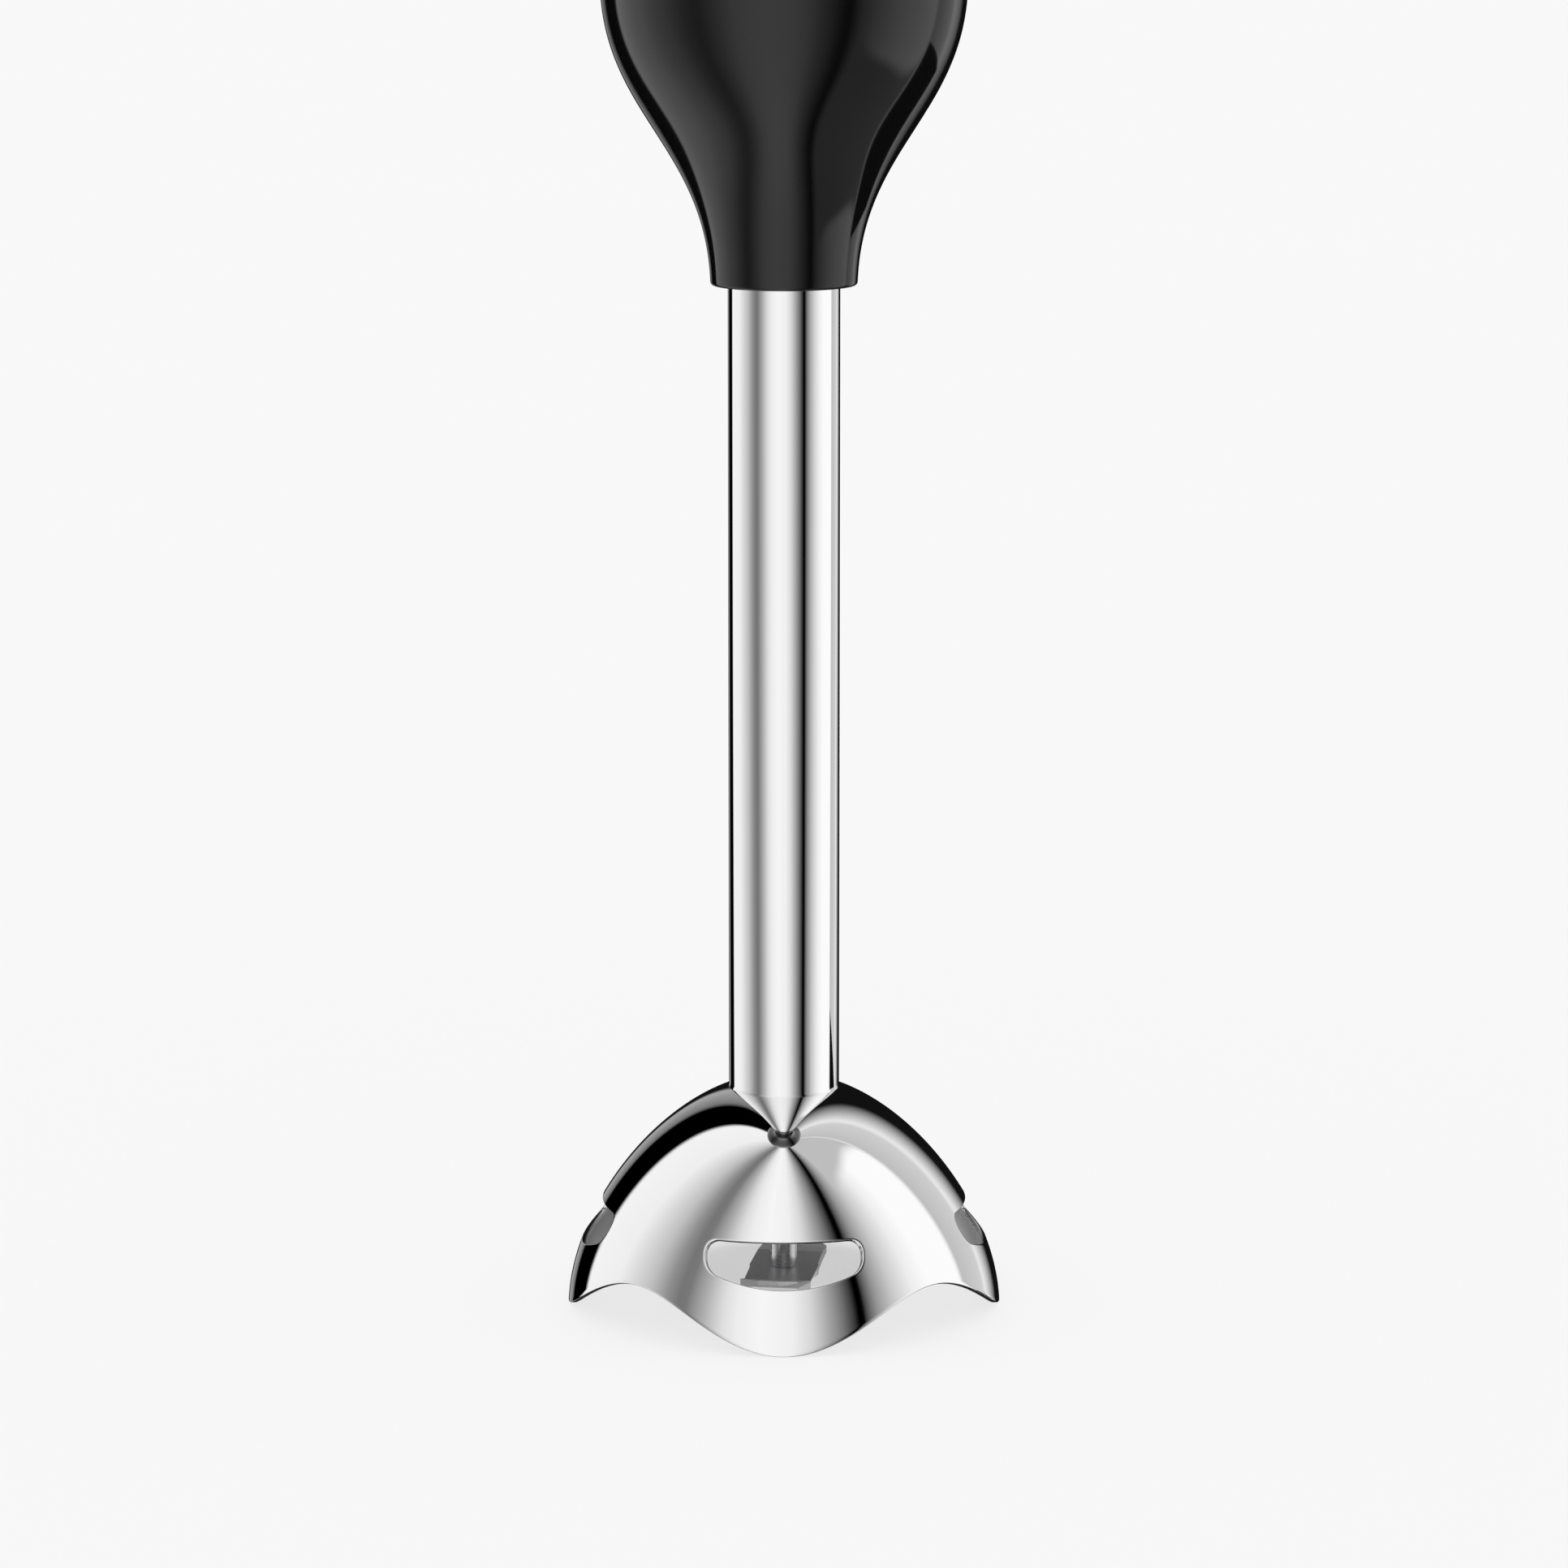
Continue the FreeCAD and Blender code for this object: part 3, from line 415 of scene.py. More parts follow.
class GuardShape:
    """The guard's outer outline, a Bezier curve, by the length along it from the tube. A point of the sheet lies
    at an angle from the front, a length along the outline and a depth below the outer face, square to it."""

    def __init__(self, settings):
        line = bezier(GUARD_POLES, 1500, -0.01, 1.05)
        self.radius, self.height = line[:, 0], line[:, 1]
        self.length = np.r_[0, np.cumsum(np.hypot(np.diff(self.radius), np.diff(self.height)))]
        self.fall_r = np.gradient(self.radius, self.length)
        self.fall_z = np.gradient(self.height, self.length)
        self.wave, self.sheet = settings.wave / MM, settings.sheet / MM

    def at_height(self, height):
        """The length along the outline where it passes a height."""
        return np.interp(-height, -self.height, self.length)

    def rim(self, angle):
        """The length along the outline of the wavy rim, whose height is wave times (1 - cos of 4 angles)."""
        return self.at_height(self.wave * (1 - np.cos(4 * angle)))

    def point(self, angle, run, depth):
        """Points at a run along the outline, moved square to it by the depth and turned by the angle."""
        fall_r, fall_z = np.interp(run, self.length, self.fall_r), np.interp(run, self.length, self.fall_z)
        r = (np.interp(run, self.length, self.radius) + depth * fall_z) * MM
        z = (np.interp(run, self.length, self.height) - depth * fall_r) * MM
        angle = angle + 0 * r
        return np.stack([r * np.sin(angle), -r * np.cos(angle), z + 0 * angle], -1)

    def lip(self, radius=0.2, steps=4):
        """The sheet's cut edge, as distances back from it and depths: a quarter turn, a flat, a quarter turn."""
        turn = np.linspace(0, np.pi / 2, steps)
        back, depth = radius * (1 - np.sin(turn)), radius * (1 - np.cos(turn))
        return np.r_[back, back[::-1]], np.r_[depth, self.sheet - depth[::-1]]


def window_outline(side_points, flat_points):
    """The front window in X and Z, started at its upper left corner and run clockwise as seen from the front.
    The top is straight and the foot is a parabola that sinks by the bow."""
    half, top, side, bow = 11.5, 15.85, 11.65, 2.2
    x = np.linspace(half, -half, 40)[1:-1]
    foot = np.stack([x, side - bow * (1 - (x / half) ** 2), 0 * x], -1)[3:-3]
    corners = np.vstack([[(-half, top, 2.0), (half, top, 2.0), (half, side, 2.4)], foot, [(-half, side, 2.4)]])
    outline = resampled(rounded(corners, 9), 2000, closed=True)
    breaks = [np.argmin(np.hypot(outline[:, 0] - x, outline[:, 1] - z)) for x, z in
              ((-half, top), (half, top), (half, side), (-half, side))]
    outline = np.roll(outline, -breaks[0], 0)
    breaks = [(b - breaks[0]) % len(outline) for b in breaks] + [len(outline)]
    outline = np.vstack([outline, outline[:1]])
    counts = (flat_points, side_points, flat_points, side_points)
    return np.vstack([resampled(outline[breaks[k]:breaks[k + 1] + 1], counts[k] + 1)[:-1] for k in range(4)])


def guard_quarter(shape, columns):
    """A quarter of the guard round its window. Lines, straight in angle and length along the outline, run from
    each point of the window's edge to its match on the quarter's border, over the outer face and back inside."""
    sides = columns // 2
    edge = window_outline(sides, columns)
    run = shape.at_height(edge[:, 1])
    hole = np.stack([np.arcsin(edge[:, 0] / np.interp(run, shape.length, shape.radius)), run], -1)

    back, depth = shape.lip()
    crown = shape.at_height(CROWN_EDGE)
    across = np.linspace(-np.pi / 4, np.pi / 4, columns + 1)[:-1]
    corner = shape.rim(np.pi / 4) - back[0]
    down = np.linspace(crown, corner, sides + 1)
    border = np.vstack([
        np.stack([across, crown + 0 * across], -1),
        np.stack([np.pi / 4 + 0 * down[:-1], down[:-1]], -1),
        np.stack([-across, shape.rim(-across) - back[0]], -1),
        np.stack([-np.pi / 4 + 0 * down[:-1], down[:0:-1]], -1)])
    reach = border - hole
    usual_radius = 25.0
    span = np.hypot(reach[:, 0] * usual_radius, reach[:, 1])
    face = np.linspace(0, 1, 24)[1:, None] ** 1.2
    share = back[:, None] / span
    start = share[:1]
    outer = start + (1 - start) * face[::-1]
    inner = start + (1 - start) * face
    t = np.vstack([outer, share, inner])[..., None]
    deep = np.r_[np.zeros(len(outer)), depth, np.full(len(inner), shape.sheet)][:, None]
    spot = hole[None] + reach[None] * t
    return shape.point(spot[..., 0], spot[..., 1], deep)


def turned_by(points, angle):
    """Points turned about the Z axis."""
    c, s = math.cos(angle), math.sin(angle)
    return points @ np.array([[c, s, 0], [-s, c, 0], [0, 0, 1]])


class MakeBladeGuard(bpy.types.Operator):
    """Makes the domed blade guard with its four windows and its wavy rim"""
    bl_idname = "hand_blender.blade_guard"
    bl_label = "Blade guard"

    def execute(self, context):
        settings = context.scene.hand_blender_guard
        shape = GuardShape(settings)
        quarter = guard_quarter(shape, settings.columns)
        grids = [(turned_by(quarter[::-1], n * np.pi / 2), False, True) for n in range(4)]
        angle = np.linspace(-np.pi / 4, 2 * np.pi - np.pi / 4, 4 * settings.columns, endpoint=False)[None, :]
        run = np.linspace(0, shape.at_height(CROWN_EDGE), 40)[:, None]
        crown_depth = np.vstack([0 * run + shape.sheet, 0 * run])
        crown = shape.point(angle, np.vstack([run[::-1], run]), crown_depth)
        grids.append((crown[::-1], False, True))
        back, depth = shape.lip()
        rim = shape.point(angle, shape.rim(angle) - back[:, None], depth[:, None] + 0 * angle)
        grids.append((rim[::-1], False, True))
        guard = grid_object("guard_shell", grids, 60)
        place = np.empty(len(guard.data.vertices) * 3)
        guard.data.vertices.foreach_get("co", place)
        place = place.reshape(-1, 3) / MM
        outside = np.interp(-place[:, 2], -shape.height, shape.radius)
        # the inner face gets the inside mark, which the steel makes satin and darkens as painted shade
        inside = guard.data.attributes.new("inside", "FLOAT", "POINT")
        inside.data.foreach_set("value", (np.hypot(place[:, 0], place[:, 1]) < outside - 0.3).astype(np.float32))
        finish_piece(guard, "foot", "bell_guard")
        return {"FINISHED"}


# ---- tube and collar
class MakeTube(bpy.types.Operator):
    """Makes the polished tube between the collar and the blade guard"""
    bl_idname = "hand_blender.tube"
    bl_label = "Tube"

    def execute(self, context):
        low, high = (corner.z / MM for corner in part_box("shaft_tube"))
        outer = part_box("shaft_tube")[1].x / MM
        outline = rounded([(outer - 0.7, low, 0.02), (outer, low, 0.02), (outer, high, 0.2),
                           (outer - 0.7, high, 0.2)])
        tube = lathe("long_tube", outline, 192)
        finish_piece(tube, "foot", "shaft_tube")
        return {"FINISHED"}


class MakeCollar(bpy.types.Operator):
    """Makes the flared collar that joins the tube to the handle"""
    bl_idname = "hand_blender.collar"
    bl_label = "Collar"

    def execute(self, context):
        foot, top = (corner.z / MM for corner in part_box("collar"))
        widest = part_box("collar")[1].x / MM
        swell = top - 6.45
        outer = bezier([(10.8, foot + 0.55), (11.6, 173.6), (widest, 178.2), (widest, swell)], 90)
        lip = rounded([(8.3, foot, 0.02), (10.8, foot, 0.55), (10.8, foot + 3, 0.02)], 8)[:-8]
        crest = rounded([(widest, swell, 0.02), (widest, top, 0.25), (24.5, top, 0.25), (24.5, swell, 0.02)], 5)
        inner = bezier([(24.5, swell), (24.5, 183.0), (15.0, 175.5), (12.4, 168.0)], 50)
        outline = np.vstack([lip, outer[1:], crest[5:-5], inner, [(8.3, 168.0)]])
        collar = lathe("flared_collar", outline, 224, 30)
        finish_piece(collar, "foot", "collar")
        return {"FINISHED"}


# ---- handle
HOUSING_LINE = [(26.7, 207.2), (26.72, 218.0), (25.9, 242.0), (24.3, 270.0), (22.9, 300.0), (22.2, 330.0),
                (22.3, 358.0), (23.2, 390.0)]
FRONT_GRIP = (29.0, 66.0, 12.0, 344.0)  # width, height, corner radius and level of its middle
REAR_GRIP = (27.0, 52.0, 12.0, 347.0)
RELEASE_OPENING = (14.6, 18.6, 4.3, 232.0)
ON_BUTTON = (15.0, 22.0, 5.5, 354.0)
TURBO_BUTTON = (13.0, 14.0, 5.5, 329.0)
RELEASE_BUTTON = (14.0, 18.0, 4.0, 232.0)


def housing_radius(height):
    """The housing's outline: a natural cubic spline through its points, whose second derivatives solve the usual
    tridiagonal system."""
    r, z = np.array(HOUSING_LINE).T
    h = np.diff(z)
    system = np.diag(np.r_[1.0, 2 * (h[:-1] + h[1:]), 1.0])
    system += np.diag(np.r_[h[:-1], 0.0], -1) + np.diag(np.r_[0.0, h[1:]], 1)
    bend = np.linalg.solve(system, np.r_[0.0, 6 * np.diff(np.diff(r) / h), 0.0])
    height = np.clip(height, z[0], z[-1])
    k = np.clip(np.searchsorted(z, height) - 1, 0, len(h) - 1)
    a, b = z[k + 1] - height, height - z[k]
    return ((bend[k] * a ** 3 + bend[k + 1] * b ** 3) / (6 * h[k]) + (r[k] / h[k] - bend[k] * h[k] / 6) * a
            + (r[k + 1] / h[k] - bend[k + 1] * h[k] / 6) * b)


def slab_outline(size, steps=12, inset=0.0):
    """A rounded rectangle (width, height, corner radius, level) in X and Z, anticlockwise from its lower right."""
    width, height, corner, level = size
    x, z, r = width / 2 - inset, height / 2 - inset, max(corner - inset, 0.05)
    return rounded([(x, level - z, r), (x, level + z, r), (-x, level + z, r), (-x, level - z, r)], steps)


def wall_ring(radius, inset, wall, count, lap, corner=0.25, gap=0.05):
    """The closed outline of half of a round wall, for rows of radius and inset. It runs along the outer arc, round
    a corner of the parting face, back along the inner arc and round the other corner. The parting face is stepped:
    its inner half stands back by the lap, or out when the lap is negative, so that two halves overlap. An inset
    row is drawn in by that much on all sides, and a row inset by half the wall is a single line."""
    rows = []
    share = np.linspace(-1, 1, count)[None, :]
    turn = np.linspace(0, np.pi / 2, 4)[None, 1:-1]
    bend = np.maximum(corner - inset, 0)
    fade = 1 - inset / (wall / 2)
    step = radius - wall / 2 + np.sign(lap) * gap * fade
    faces = gap + inset + lap * fade * np.array([0, 1])
    steps = np.stack([np.sqrt(step ** 2 - faces ** 2), -faces], -1)
    for limit, side, reach, face in ((radius - inset, 1, 1, faces[:, :1]),
                                     (radius - wall + inset, -1, -1, faces[:, 1:])):
        y = face + bend
        centre = limit - reach * bend
        middle = np.sqrt(centre ** 2 - y ** 2)
        end = np.arctan2(middle * limit, y * limit)
        angle = end * share * side
        arc = np.stack([limit * np.sin(angle), -limit * np.cos(angle)], -1)
        lift = turn if side > 0 else np.pi / 2 - turn
        round_x = middle + reach * bend * np.cos(lift)
        round_y = -(y - bend * np.sin(lift))
        rows += [arc, np.stack([round_x, round_y], -1)]
    outer, first, inner, second = rows
    left = (-1, 1)
    return np.concatenate([outer, first, steps, second, inner, second[:, ::-1] * left, steps[:, ::-1] * left,
                           first[:, ::-1] * left], 1)


def housing_half(wall, lap):
    """Half of the housing as a closed wall with rounded edges, and the same wall ring at each height."""
    foot, top = HOUSING_LINE[0][1], HOUSING_LINE[-1][1]
    ends = np.array([(0, wall / 2), (0, 0.25), (0.07, 0.07), (0.25, 0.0)])
    levels = np.linspace(foot + 0.25, top - 0.25, 200)[1:-1]
    z = np.r_[foot + ends[:, 0], levels, top - ends[::-1, 0]][:, None]
    inset = np.r_[ends[:, 1], 0 * levels, ends[::-1, 1]][:, None]
    ring = wall_ring(housing_radius(z), inset, wall, 120, lap)
    grid = np.concatenate([ring, np.broadcast_to(z[..., None], ring.shape[:2] + (1,))], -1)
    return grid[:, ::-1] * MM, False, True


def add_modifier(piece, kind, **values):
    """A new modifier on a piece, with its values."""
    made = piece.modifiers.new(kind.title(), kind)
    for key, value in values.items():
        setattr(made, key, value)
    return made


def carved(piece, tool, operation="DIFFERENCE"):
    """The piece less the tool, or joined to it with UNION. The tool goes."""
    add_modifier(piece, "BOOLEAN", object=tool, operation=operation, solver="EXACT")
    shape = bpy.data.meshes.new_from_object(piece.evaluated_get(bpy.context.evaluated_depsgraph_get()))
    piece.modifiers.clear()
    piece.data = shape
    bpy.data.objects.remove(tool)


def prism(outline, near, far, turn=0.0):
    """A closed prism along Y from an outline in X and Z: its two end fans and its side, turned about Z."""
    outline = np.asarray(outline, float)
    centre = outline.mean(0)
    rings = [(centre, near), (outline, near), (outline, far), (centre, far)]
    grid = np.stack([np.column_stack([flat + 0 * outline, np.full(len(outline), y)])[:, [0, 2, 1]]
                     for flat, y in rings]) * MM
    return turned_by(grid, turn), False, True


def pad(size, radius, edge, back, turn=0.0, dish=0.0, steps=12, rings=14):
    """A rounded slab laid on a round body, where Y is -sqrt(radius squared - X squared). Rings inset from its
    outline rise over a quarter-round edge, then close in on the middle, where the face sinks by the dish times
    (1 - share squared). radius is a number, or a function of height, for the body's own surface, and back is how
    deep the slab goes."""
    level = size[3]
    turnover = np.linspace(0, np.pi / 2, 6)
    insets = edge * (1 - np.cos(turnover))
    heights = -edge * (1 - np.sin(turnover))
    rim = [slab_outline(size, steps, inset) for inset in insets]
    share = np.linspace(1, 0, rings)[1:, None, None]
    centre = np.array([0, level])
    inner = centre + share * (rim[-1] - centre)[None]
    rise = -dish * (1 - share[:, :, 0] ** 2)
    outline = np.concatenate([centre + share[::-1] * (rim[0] - centre)[None], [rim[0]], np.array(rim), inner])
    height = np.concatenate([np.full(rings - 1, -back), [-back], heights, rise[:, 0]])[:, None]
    x, z = outline[..., 0], outline[..., 1]
    reach = (radius(z) if callable(radius) else radius) + height
    face = np.stack([x, -np.sqrt(np.maximum(reach ** 2 - x ** 2, 1e-6)), z], -1) * MM
    return turned_by(face, turn), False, True


def post(x, level, profile, wall=0.0):
    """A closed round post along Y in the rear half, from a profile of (radius, depth) rows. With a wall, its last
    two rows follow the middle of that wall of the housing, and it is turned a little, so that no edge of it
    falls on an edge of the bore made in it."""
    turn = np.linspace(0, 2 * np.pi, 40, endpoint=False) + (0.05 if wall else 0.0)
    r, depth = np.array(profile).T[..., None]
    across, up = x + r * np.cos(turn), level + r * np.sin(turn)
    depth = depth + 0 * across
    if wall:
        depth[-2:] = np.sqrt((housing_radius(up[-2:]) - wall / 2) ** 2 - across[-2:] ** 2)
    return turned_by(np.stack([across, -depth, up], -1) * MM, np.pi), False, True


class MakeHousing(bpy.types.Operator):
    """Makes the two halves of the handle's housing, with their openings, vents and screw bores"""
    bl_idname = "hand_blender.housing"
    bl_label = "Housing"

    def execute(self, context):
        wall = context.scene.hand_blender_handle.wall / MM
        for name, turn, lap, cutter, node_name in (
                ("front_shell", 0.0, -0.8, self.front_cutters, "housing_front"),
                ("rear_shell", np.pi, 0.8, self.rear_cutters, "housing_rear")):
            grid, wrap_rows, wrap_columns = housing_half(wall, lap)
            shell = grid_object(name, [(turned_by(grid, turn), wrap_rows, wrap_columns)])
            if name == "rear_shell":
                posts = [post(x, z, [(0.001, 0.1), (3.6, 0.1), (3.6, 0), (0.001, 0)], wall)
                         for x, z in self.screws]
                carved(shell, grid_object("posts", posts), "UNION")
            releases = [prism(slab_outline(RELEASE_OPENING), -18.0, -34.0, side * np.pi / 2)
                        for side in (-1, 1)]
            for grids in (cutter(), releases):
                carved(shell, grid_object("cutter", grids))
            smooth(shell.data, 35)
            finish_piece(shell, "motor_unit", node_name)
        return {"FINISHED"}

    screws = [(x, z) for x in (-13.5, 13.5) for z in (313.0, 381.0)]

    def front_cutters(self):
        """The front grip's pocket and the openings of the two buttons in it, which run on through the wall."""
        pocket = pad(FRONT_GRIP, lambda z: housing_radius(z) + 1.0, 0.05, 2.0, steps=24)
        openings = [prism(slab_outline((w + 0.6, h + 0.6, 5.8, level)), -12.0, -21.6)
                    for w, h, corner, level in (ON_BUTTON, TURBO_BUTTON)]
        return [pocket] + openings

    def rear_cutters(self):
        """Air slots with round ends beside the fan and beside the grip, and four bores for the screws."""
        slots = [(2.2, 14.0, 1.09, 233.0, a) for a in range(54, 127, 12)]
        slots += [(1.8, 12.0, 0.89, 358.0, a) for a in (22, 30, 38, 142, 150, 158)]
        grids = [prism(slab_outline(size[:4], 5), -15.0, -34.0, math.radians(size[4] + 90)) for size in slots]
        grids += [post(x, z, [(0.001, -1), (1.3, -1), (1.3, 16), (2.9, 16), (2.9, 30), (0.001, 30)])
                  for x, z in self.screws]
        grids.append(pad(REAR_GRIP, lambda z: housing_radius(z) + 1.0, 0.05, 2.0, np.pi, steps=24))
        return grids


class MakeGrips(bpy.types.Operator):
    """Makes the soft rubber grips let into the front and the rear of the housing"""
    bl_idname = "hand_blender.grips"
    bl_label = "Grips"

    def execute(self, context):
        def face(z):
            """Just proud of the housing."""
            return housing_radius(z) + 0.35

        front = grid_object("front_pad", [pad(FRONT_GRIP, face, 0.5, 1.35, steps=40, rings=34)], 50)
        openings = [prism(slab_outline((w + 1.8, h + 1.8, 6.4, level), 16), -10.0, -40.0)
                    for w, h, c, level in (ON_BUTTON, TURBO_BUTTON)]
        carved(front, grid_object("cutter", openings))
        smooth(front.data, 50)
        add_modifier(front, "BEVEL", width=0.25 * MM, segments=3, limit_method="ANGLE",
                     angle_limit=math.radians(50), harden_normals=True)
        finish_piece(front, "motor_unit", "front_grip")

        grids = [pad(REAR_GRIP, face, 0.4, 1.35, np.pi, steps=30, rings=24)]
        for n in range(7):
            bar = (20.0, 2.2, 1.05, 329.0 + 6.0 * n)
            grids.append(pad(bar, lambda z: housing_radius(z) + 0.9, 0.5, 0.7, np.pi, rings=6))
        rear = grid_object("rear_pad", grids, 50)
        finish_piece(rear, "motor_unit", "rear_grip")
        return {"FINISHED"}


class MakeButtons(bpy.types.Operator):
    """Makes the on button, the turbo button and the two release buttons"""
    bl_idname = "hand_blender.buttons"
    bl_label = "Buttons"

    def execute(self, context):
        for name, part, size, face, turn, dish, marks in (
                ("on_key", "on_button", ON_BUTTON, 23.1, 0.0, 0.45, 1),
                ("turbo_key", "turbo_button", TURBO_BUTTON, 23.1, 0.0, 0.35, 2),
                ("left_release_key", "release_button_left", RELEASE_BUTTON, 27.2, -np.pi / 2, 0.0, 3),
                ("right_release_key", "release_button_right", RELEASE_BUTTON, 27.2, np.pi / 2, 0.0, 3)):
            depth = 3.4 if turn == 0 else 4.1
            grids = [pad(size, face, 0.8, depth, turn, dish, 16, 16)]
            flange = (size[0] + 3, size[1] + 3, size[2] + 1, size[3])
            grids.append(pad(flange, face - depth + 0.05, 0.1, 1.2, turn, rings=8))
            if turn == 0:
                grids.append(pad((3.6, 3.6, 0.4, size[3]), 19.0, 0.05, 9.6, rings=4))
            sunk = 0.02 if turn else dish
            for k in range(marks):
                bar = (5.5, 0.9, 0.44, size[3] + 2.4 * (k - (marks - 1) / 2))
                grids.append(pad(bar, face - sunk + (0.0 if turn else 0.2), 0.2, 0.5, turn, 0.0, 6, 4))
            finish_piece(grid_object(name, grids, 50), part, part)
        return {"FINISHED"}


class MakeTop(bpy.types.Operator):
    """Makes the cap of the handle, its fluted speed dial, the crown over it and the gland where a cord goes in"""
    bl_idname = "hand_blender.top"
    bl_label = "Top and speed dial"

    def execute(self, context):
        outline = rounded([(6.2, 389, 0.1), (18.5, 389, 0.05), (18.5, 387.2, 0.1), (20.6, 387.2, 0.2),
                           (20.6, 390, 0.05), (23.2, 390, 0.15), (23.2, 393.5, 0.5), (11, 393.5, 0.1),
                           (11, 405, 0.1), (6.2, 405, 0.1)], 6)
        cap = lathe("head_cap", outline, 224, 40)
        finish_piece(cap, "motor_unit", "top_cap")

        finish_piece(self.dial(), "speed_control", "speed_dial")

        dome = bezier([(15.8, 405.6), (15.0, 408.2), (11.5, 409.4), (7.7, 409.5)], 40)
        crown = lathe("crown", np.vstack([[(7.7, 405.0), (15.7, 405.0), (15.8, 405.1)], dome]), 160, 40)
        finish_piece(crown, "motor_unit", "crown_cap")

        gland = lathe("gland", rounded([(3.6, 391, 0.1), (6.15, 391, 0.1), (6.15, 405, 0.02), (7.5, 405, 0.1),
                                        (7.5, 410, 0.4), (6.9, 412.4, 0.3), (6.3, 413, 0.3), (3.6, 413, 0.4)], 6),
                      128, 40)
        finish_piece(gland, "motor_unit", "cord_gland")
        return {"FINISHED"}

    def dial(self):
        """The speed dial: a turned ring with round flutes sunk in its side, each a cylinder whose axis stands just
        outside it, and a groove of round section in its top that points to the front."""
        flutes, flute_circle, flute_radius = 24, 23.7, 1.5
        mark_radius, mark_rise, mark_start, top_face = 1.0, 0.6, 14.0, 403.9
        outline = rounded([(11.3, 393.9, 0.1), (22.4, 393.9, 0.1), (23.0, 394.5, 0.2), (22.4, 402.8, 0.5),
                           (21.0, 404.4, 0.7), (11.3, 404.4, 0.15)], 6)
        x, y, z = np.moveaxis(spun(divided(outline, 6, (9, 1, 13, 3, 25, 4)), 960)[0] / MM, -1, 0)
        angle, radius = np.arctan2(y, x), np.hypot(x, y)
        step = 2 * np.pi / flutes
        off = angle % step - step / 2
        across = flute_circle * np.sin(off)
        flute = flute_circle * np.cos(off) - np.sqrt(np.maximum(flute_radius ** 2 - across ** 2, 0))
        radius = np.where(np.abs(across) < flute_radius, np.minimum(radius, flute), radius)
        mark = np.sqrt(np.maximum(mark_radius ** 2 - (radius * np.cos(angle)) ** 2, 0)) - mark_rise
        marked = (z > top_face) & (np.sin(angle) < 0) & (radius > mark_start)
        z = z - np.where(marked, np.maximum(mark, 0), 0)
        grid = np.stack([radius * np.cos(angle), radius * np.sin(angle), z], -1) * MM
        return grid_object("dial_ring", [(grid, True, True)])


class MakeTurnedParts(bpy.types.Operator):
    """Makes the turned parts that show: the trim ring, the bearing housing, the seal cover and the drive shaft"""
    bl_idname = "hand_blender.turned_parts"
    bl_label = "Turned parts"

    def execute(self, context):
        for name, part, body, corners in (
                ("bright_ring", "trim_ring", "motor_unit",
                 [(24.6, 204.2, 0.05), (26.7, 204.2, 0.15), (27, 204.6, 0.2), (27, 206.6, 0.2), (26.7, 207, 0.15),
                  (24.6, 207, 0.05)]),
                ("bearing_nose", "bearing_housing", "foot",
                 [(5.2, 11.5, 0.1), (7.3, 11.5, 0.3), (8.6, 26, 0.5), (8.6, 31.6, 0.2), (6.55, 31.6, 0.1),
                  (6.55, 43, 0.2), (4.5, 43, 0.1), (4.5, 26, 0.05), (3.4, 26, 0.05), (3.4, 18, 0.05),
                  (5.2, 18, 0.05)]),
                ("nose_washer", "seal_cover", "foot",
                 [(3.2, 10.5, 0.1), (6.9, 10.5, 0.1), (7.3, 10.9, 0.1), (7.3, 11.5, 0.05), (3.2, 11.5, 0.05)]),
                ("long_shaft", "drive_shaft", "blade_drive",
                 [(0, 1.4, 0), (1.5, 1.4, 0.2), (1.5, 5.2, 0.02), (2, 5.2, 0.1), (2, 9.2, 0.1), (2.5, 10, 0.1),
                  (2.5, 177.2, 0.05), (2.1, 177.2, 0.05), (2.1, 178, 0.05), (2.5, 178, 0.05), (2.5, 190, 0.3),
                  (0, 190, 0)])):
            outline = rounded([(r, z, max(fillet, 1e-4)) for r, z, fillet in corners], 5)
            outline[:, 0] = np.maximum(outline[:, 0], 0)
            finish_piece(lathe(name, outline, 160, 30), body, part)
        return {"FINISHED"}


def coil_spring(radius, wire_radius, turns, near, far, level):
    """A coil spring along Y: a circle of the wire's radius carried square to a helix, and closed to a point at
    both ends."""
    share = np.linspace(0, 1, 48 * turns)[:, None]
    angle = 2 * np.pi * turns * share
    outward = np.stack([np.cos(angle), 0 * angle, np.sin(angle)], -1)
    line = radius * outward + np.array([0, near, level]) + share[..., None] * np.array([0, far - near, 0])
    along = np.gradient(line[:, 0], axis=0)[:, None]
    across = np.cross(along / np.linalg.norm(along, axis=-1, keepdims=True), outward)
    turn = np.linspace(0, 2 * np.pi, 12, endpoint=False)[None, :, None]
    rows = np.r_[0, np.arange(len(share)), len(share) - 1]
    thick = np.full((len(rows), 1, 1), wire_radius)
    thick[[0, -1]] = 0.0005
    grid = line[rows] + thick * (np.cos(turn) * outward[rows] + np.sin(turn) * across[rows])
    return grid * MM, False, True


class MakeSprings(bpy.types.Operator):
    """Makes the coil springs under the on and turbo buttons, each with a mesh of its own"""
    bl_idname = "hand_blender.springs"
    bl_label = "Button springs"

    def execute(self, context):
        front, back = -17.7, -6.45
        for name, joint, level in (("on_spring", "on_button_press", ON_BUTTON[3]),
                                   ("turbo_spring", "turbo_button_press", TURBO_BUTTON[3])):
            spring = grid_object(name, [coil_spring(3.1, 0.35, 5, front, back, level)])
            finish_piece(spring, "motor_unit", "button_springs")
            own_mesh(spring)
        return {"FINISHED"}


class FinishInnerParts(bpy.types.Operator):
    """Gives every part that keeps its CAD shape the finish of its material slot"""
    bl_idname = "hand_blender.inner_parts"
    bl_label = "Finish of the inner parts"

    def execute(self, context):
        for name, part in frame["nodes"].items():
            if part.hide_render:
                continue
            part.data.materials.clear()
            part.data.materials.append(finish_for(SLOTS[name]))
        return {"FINISHED"}


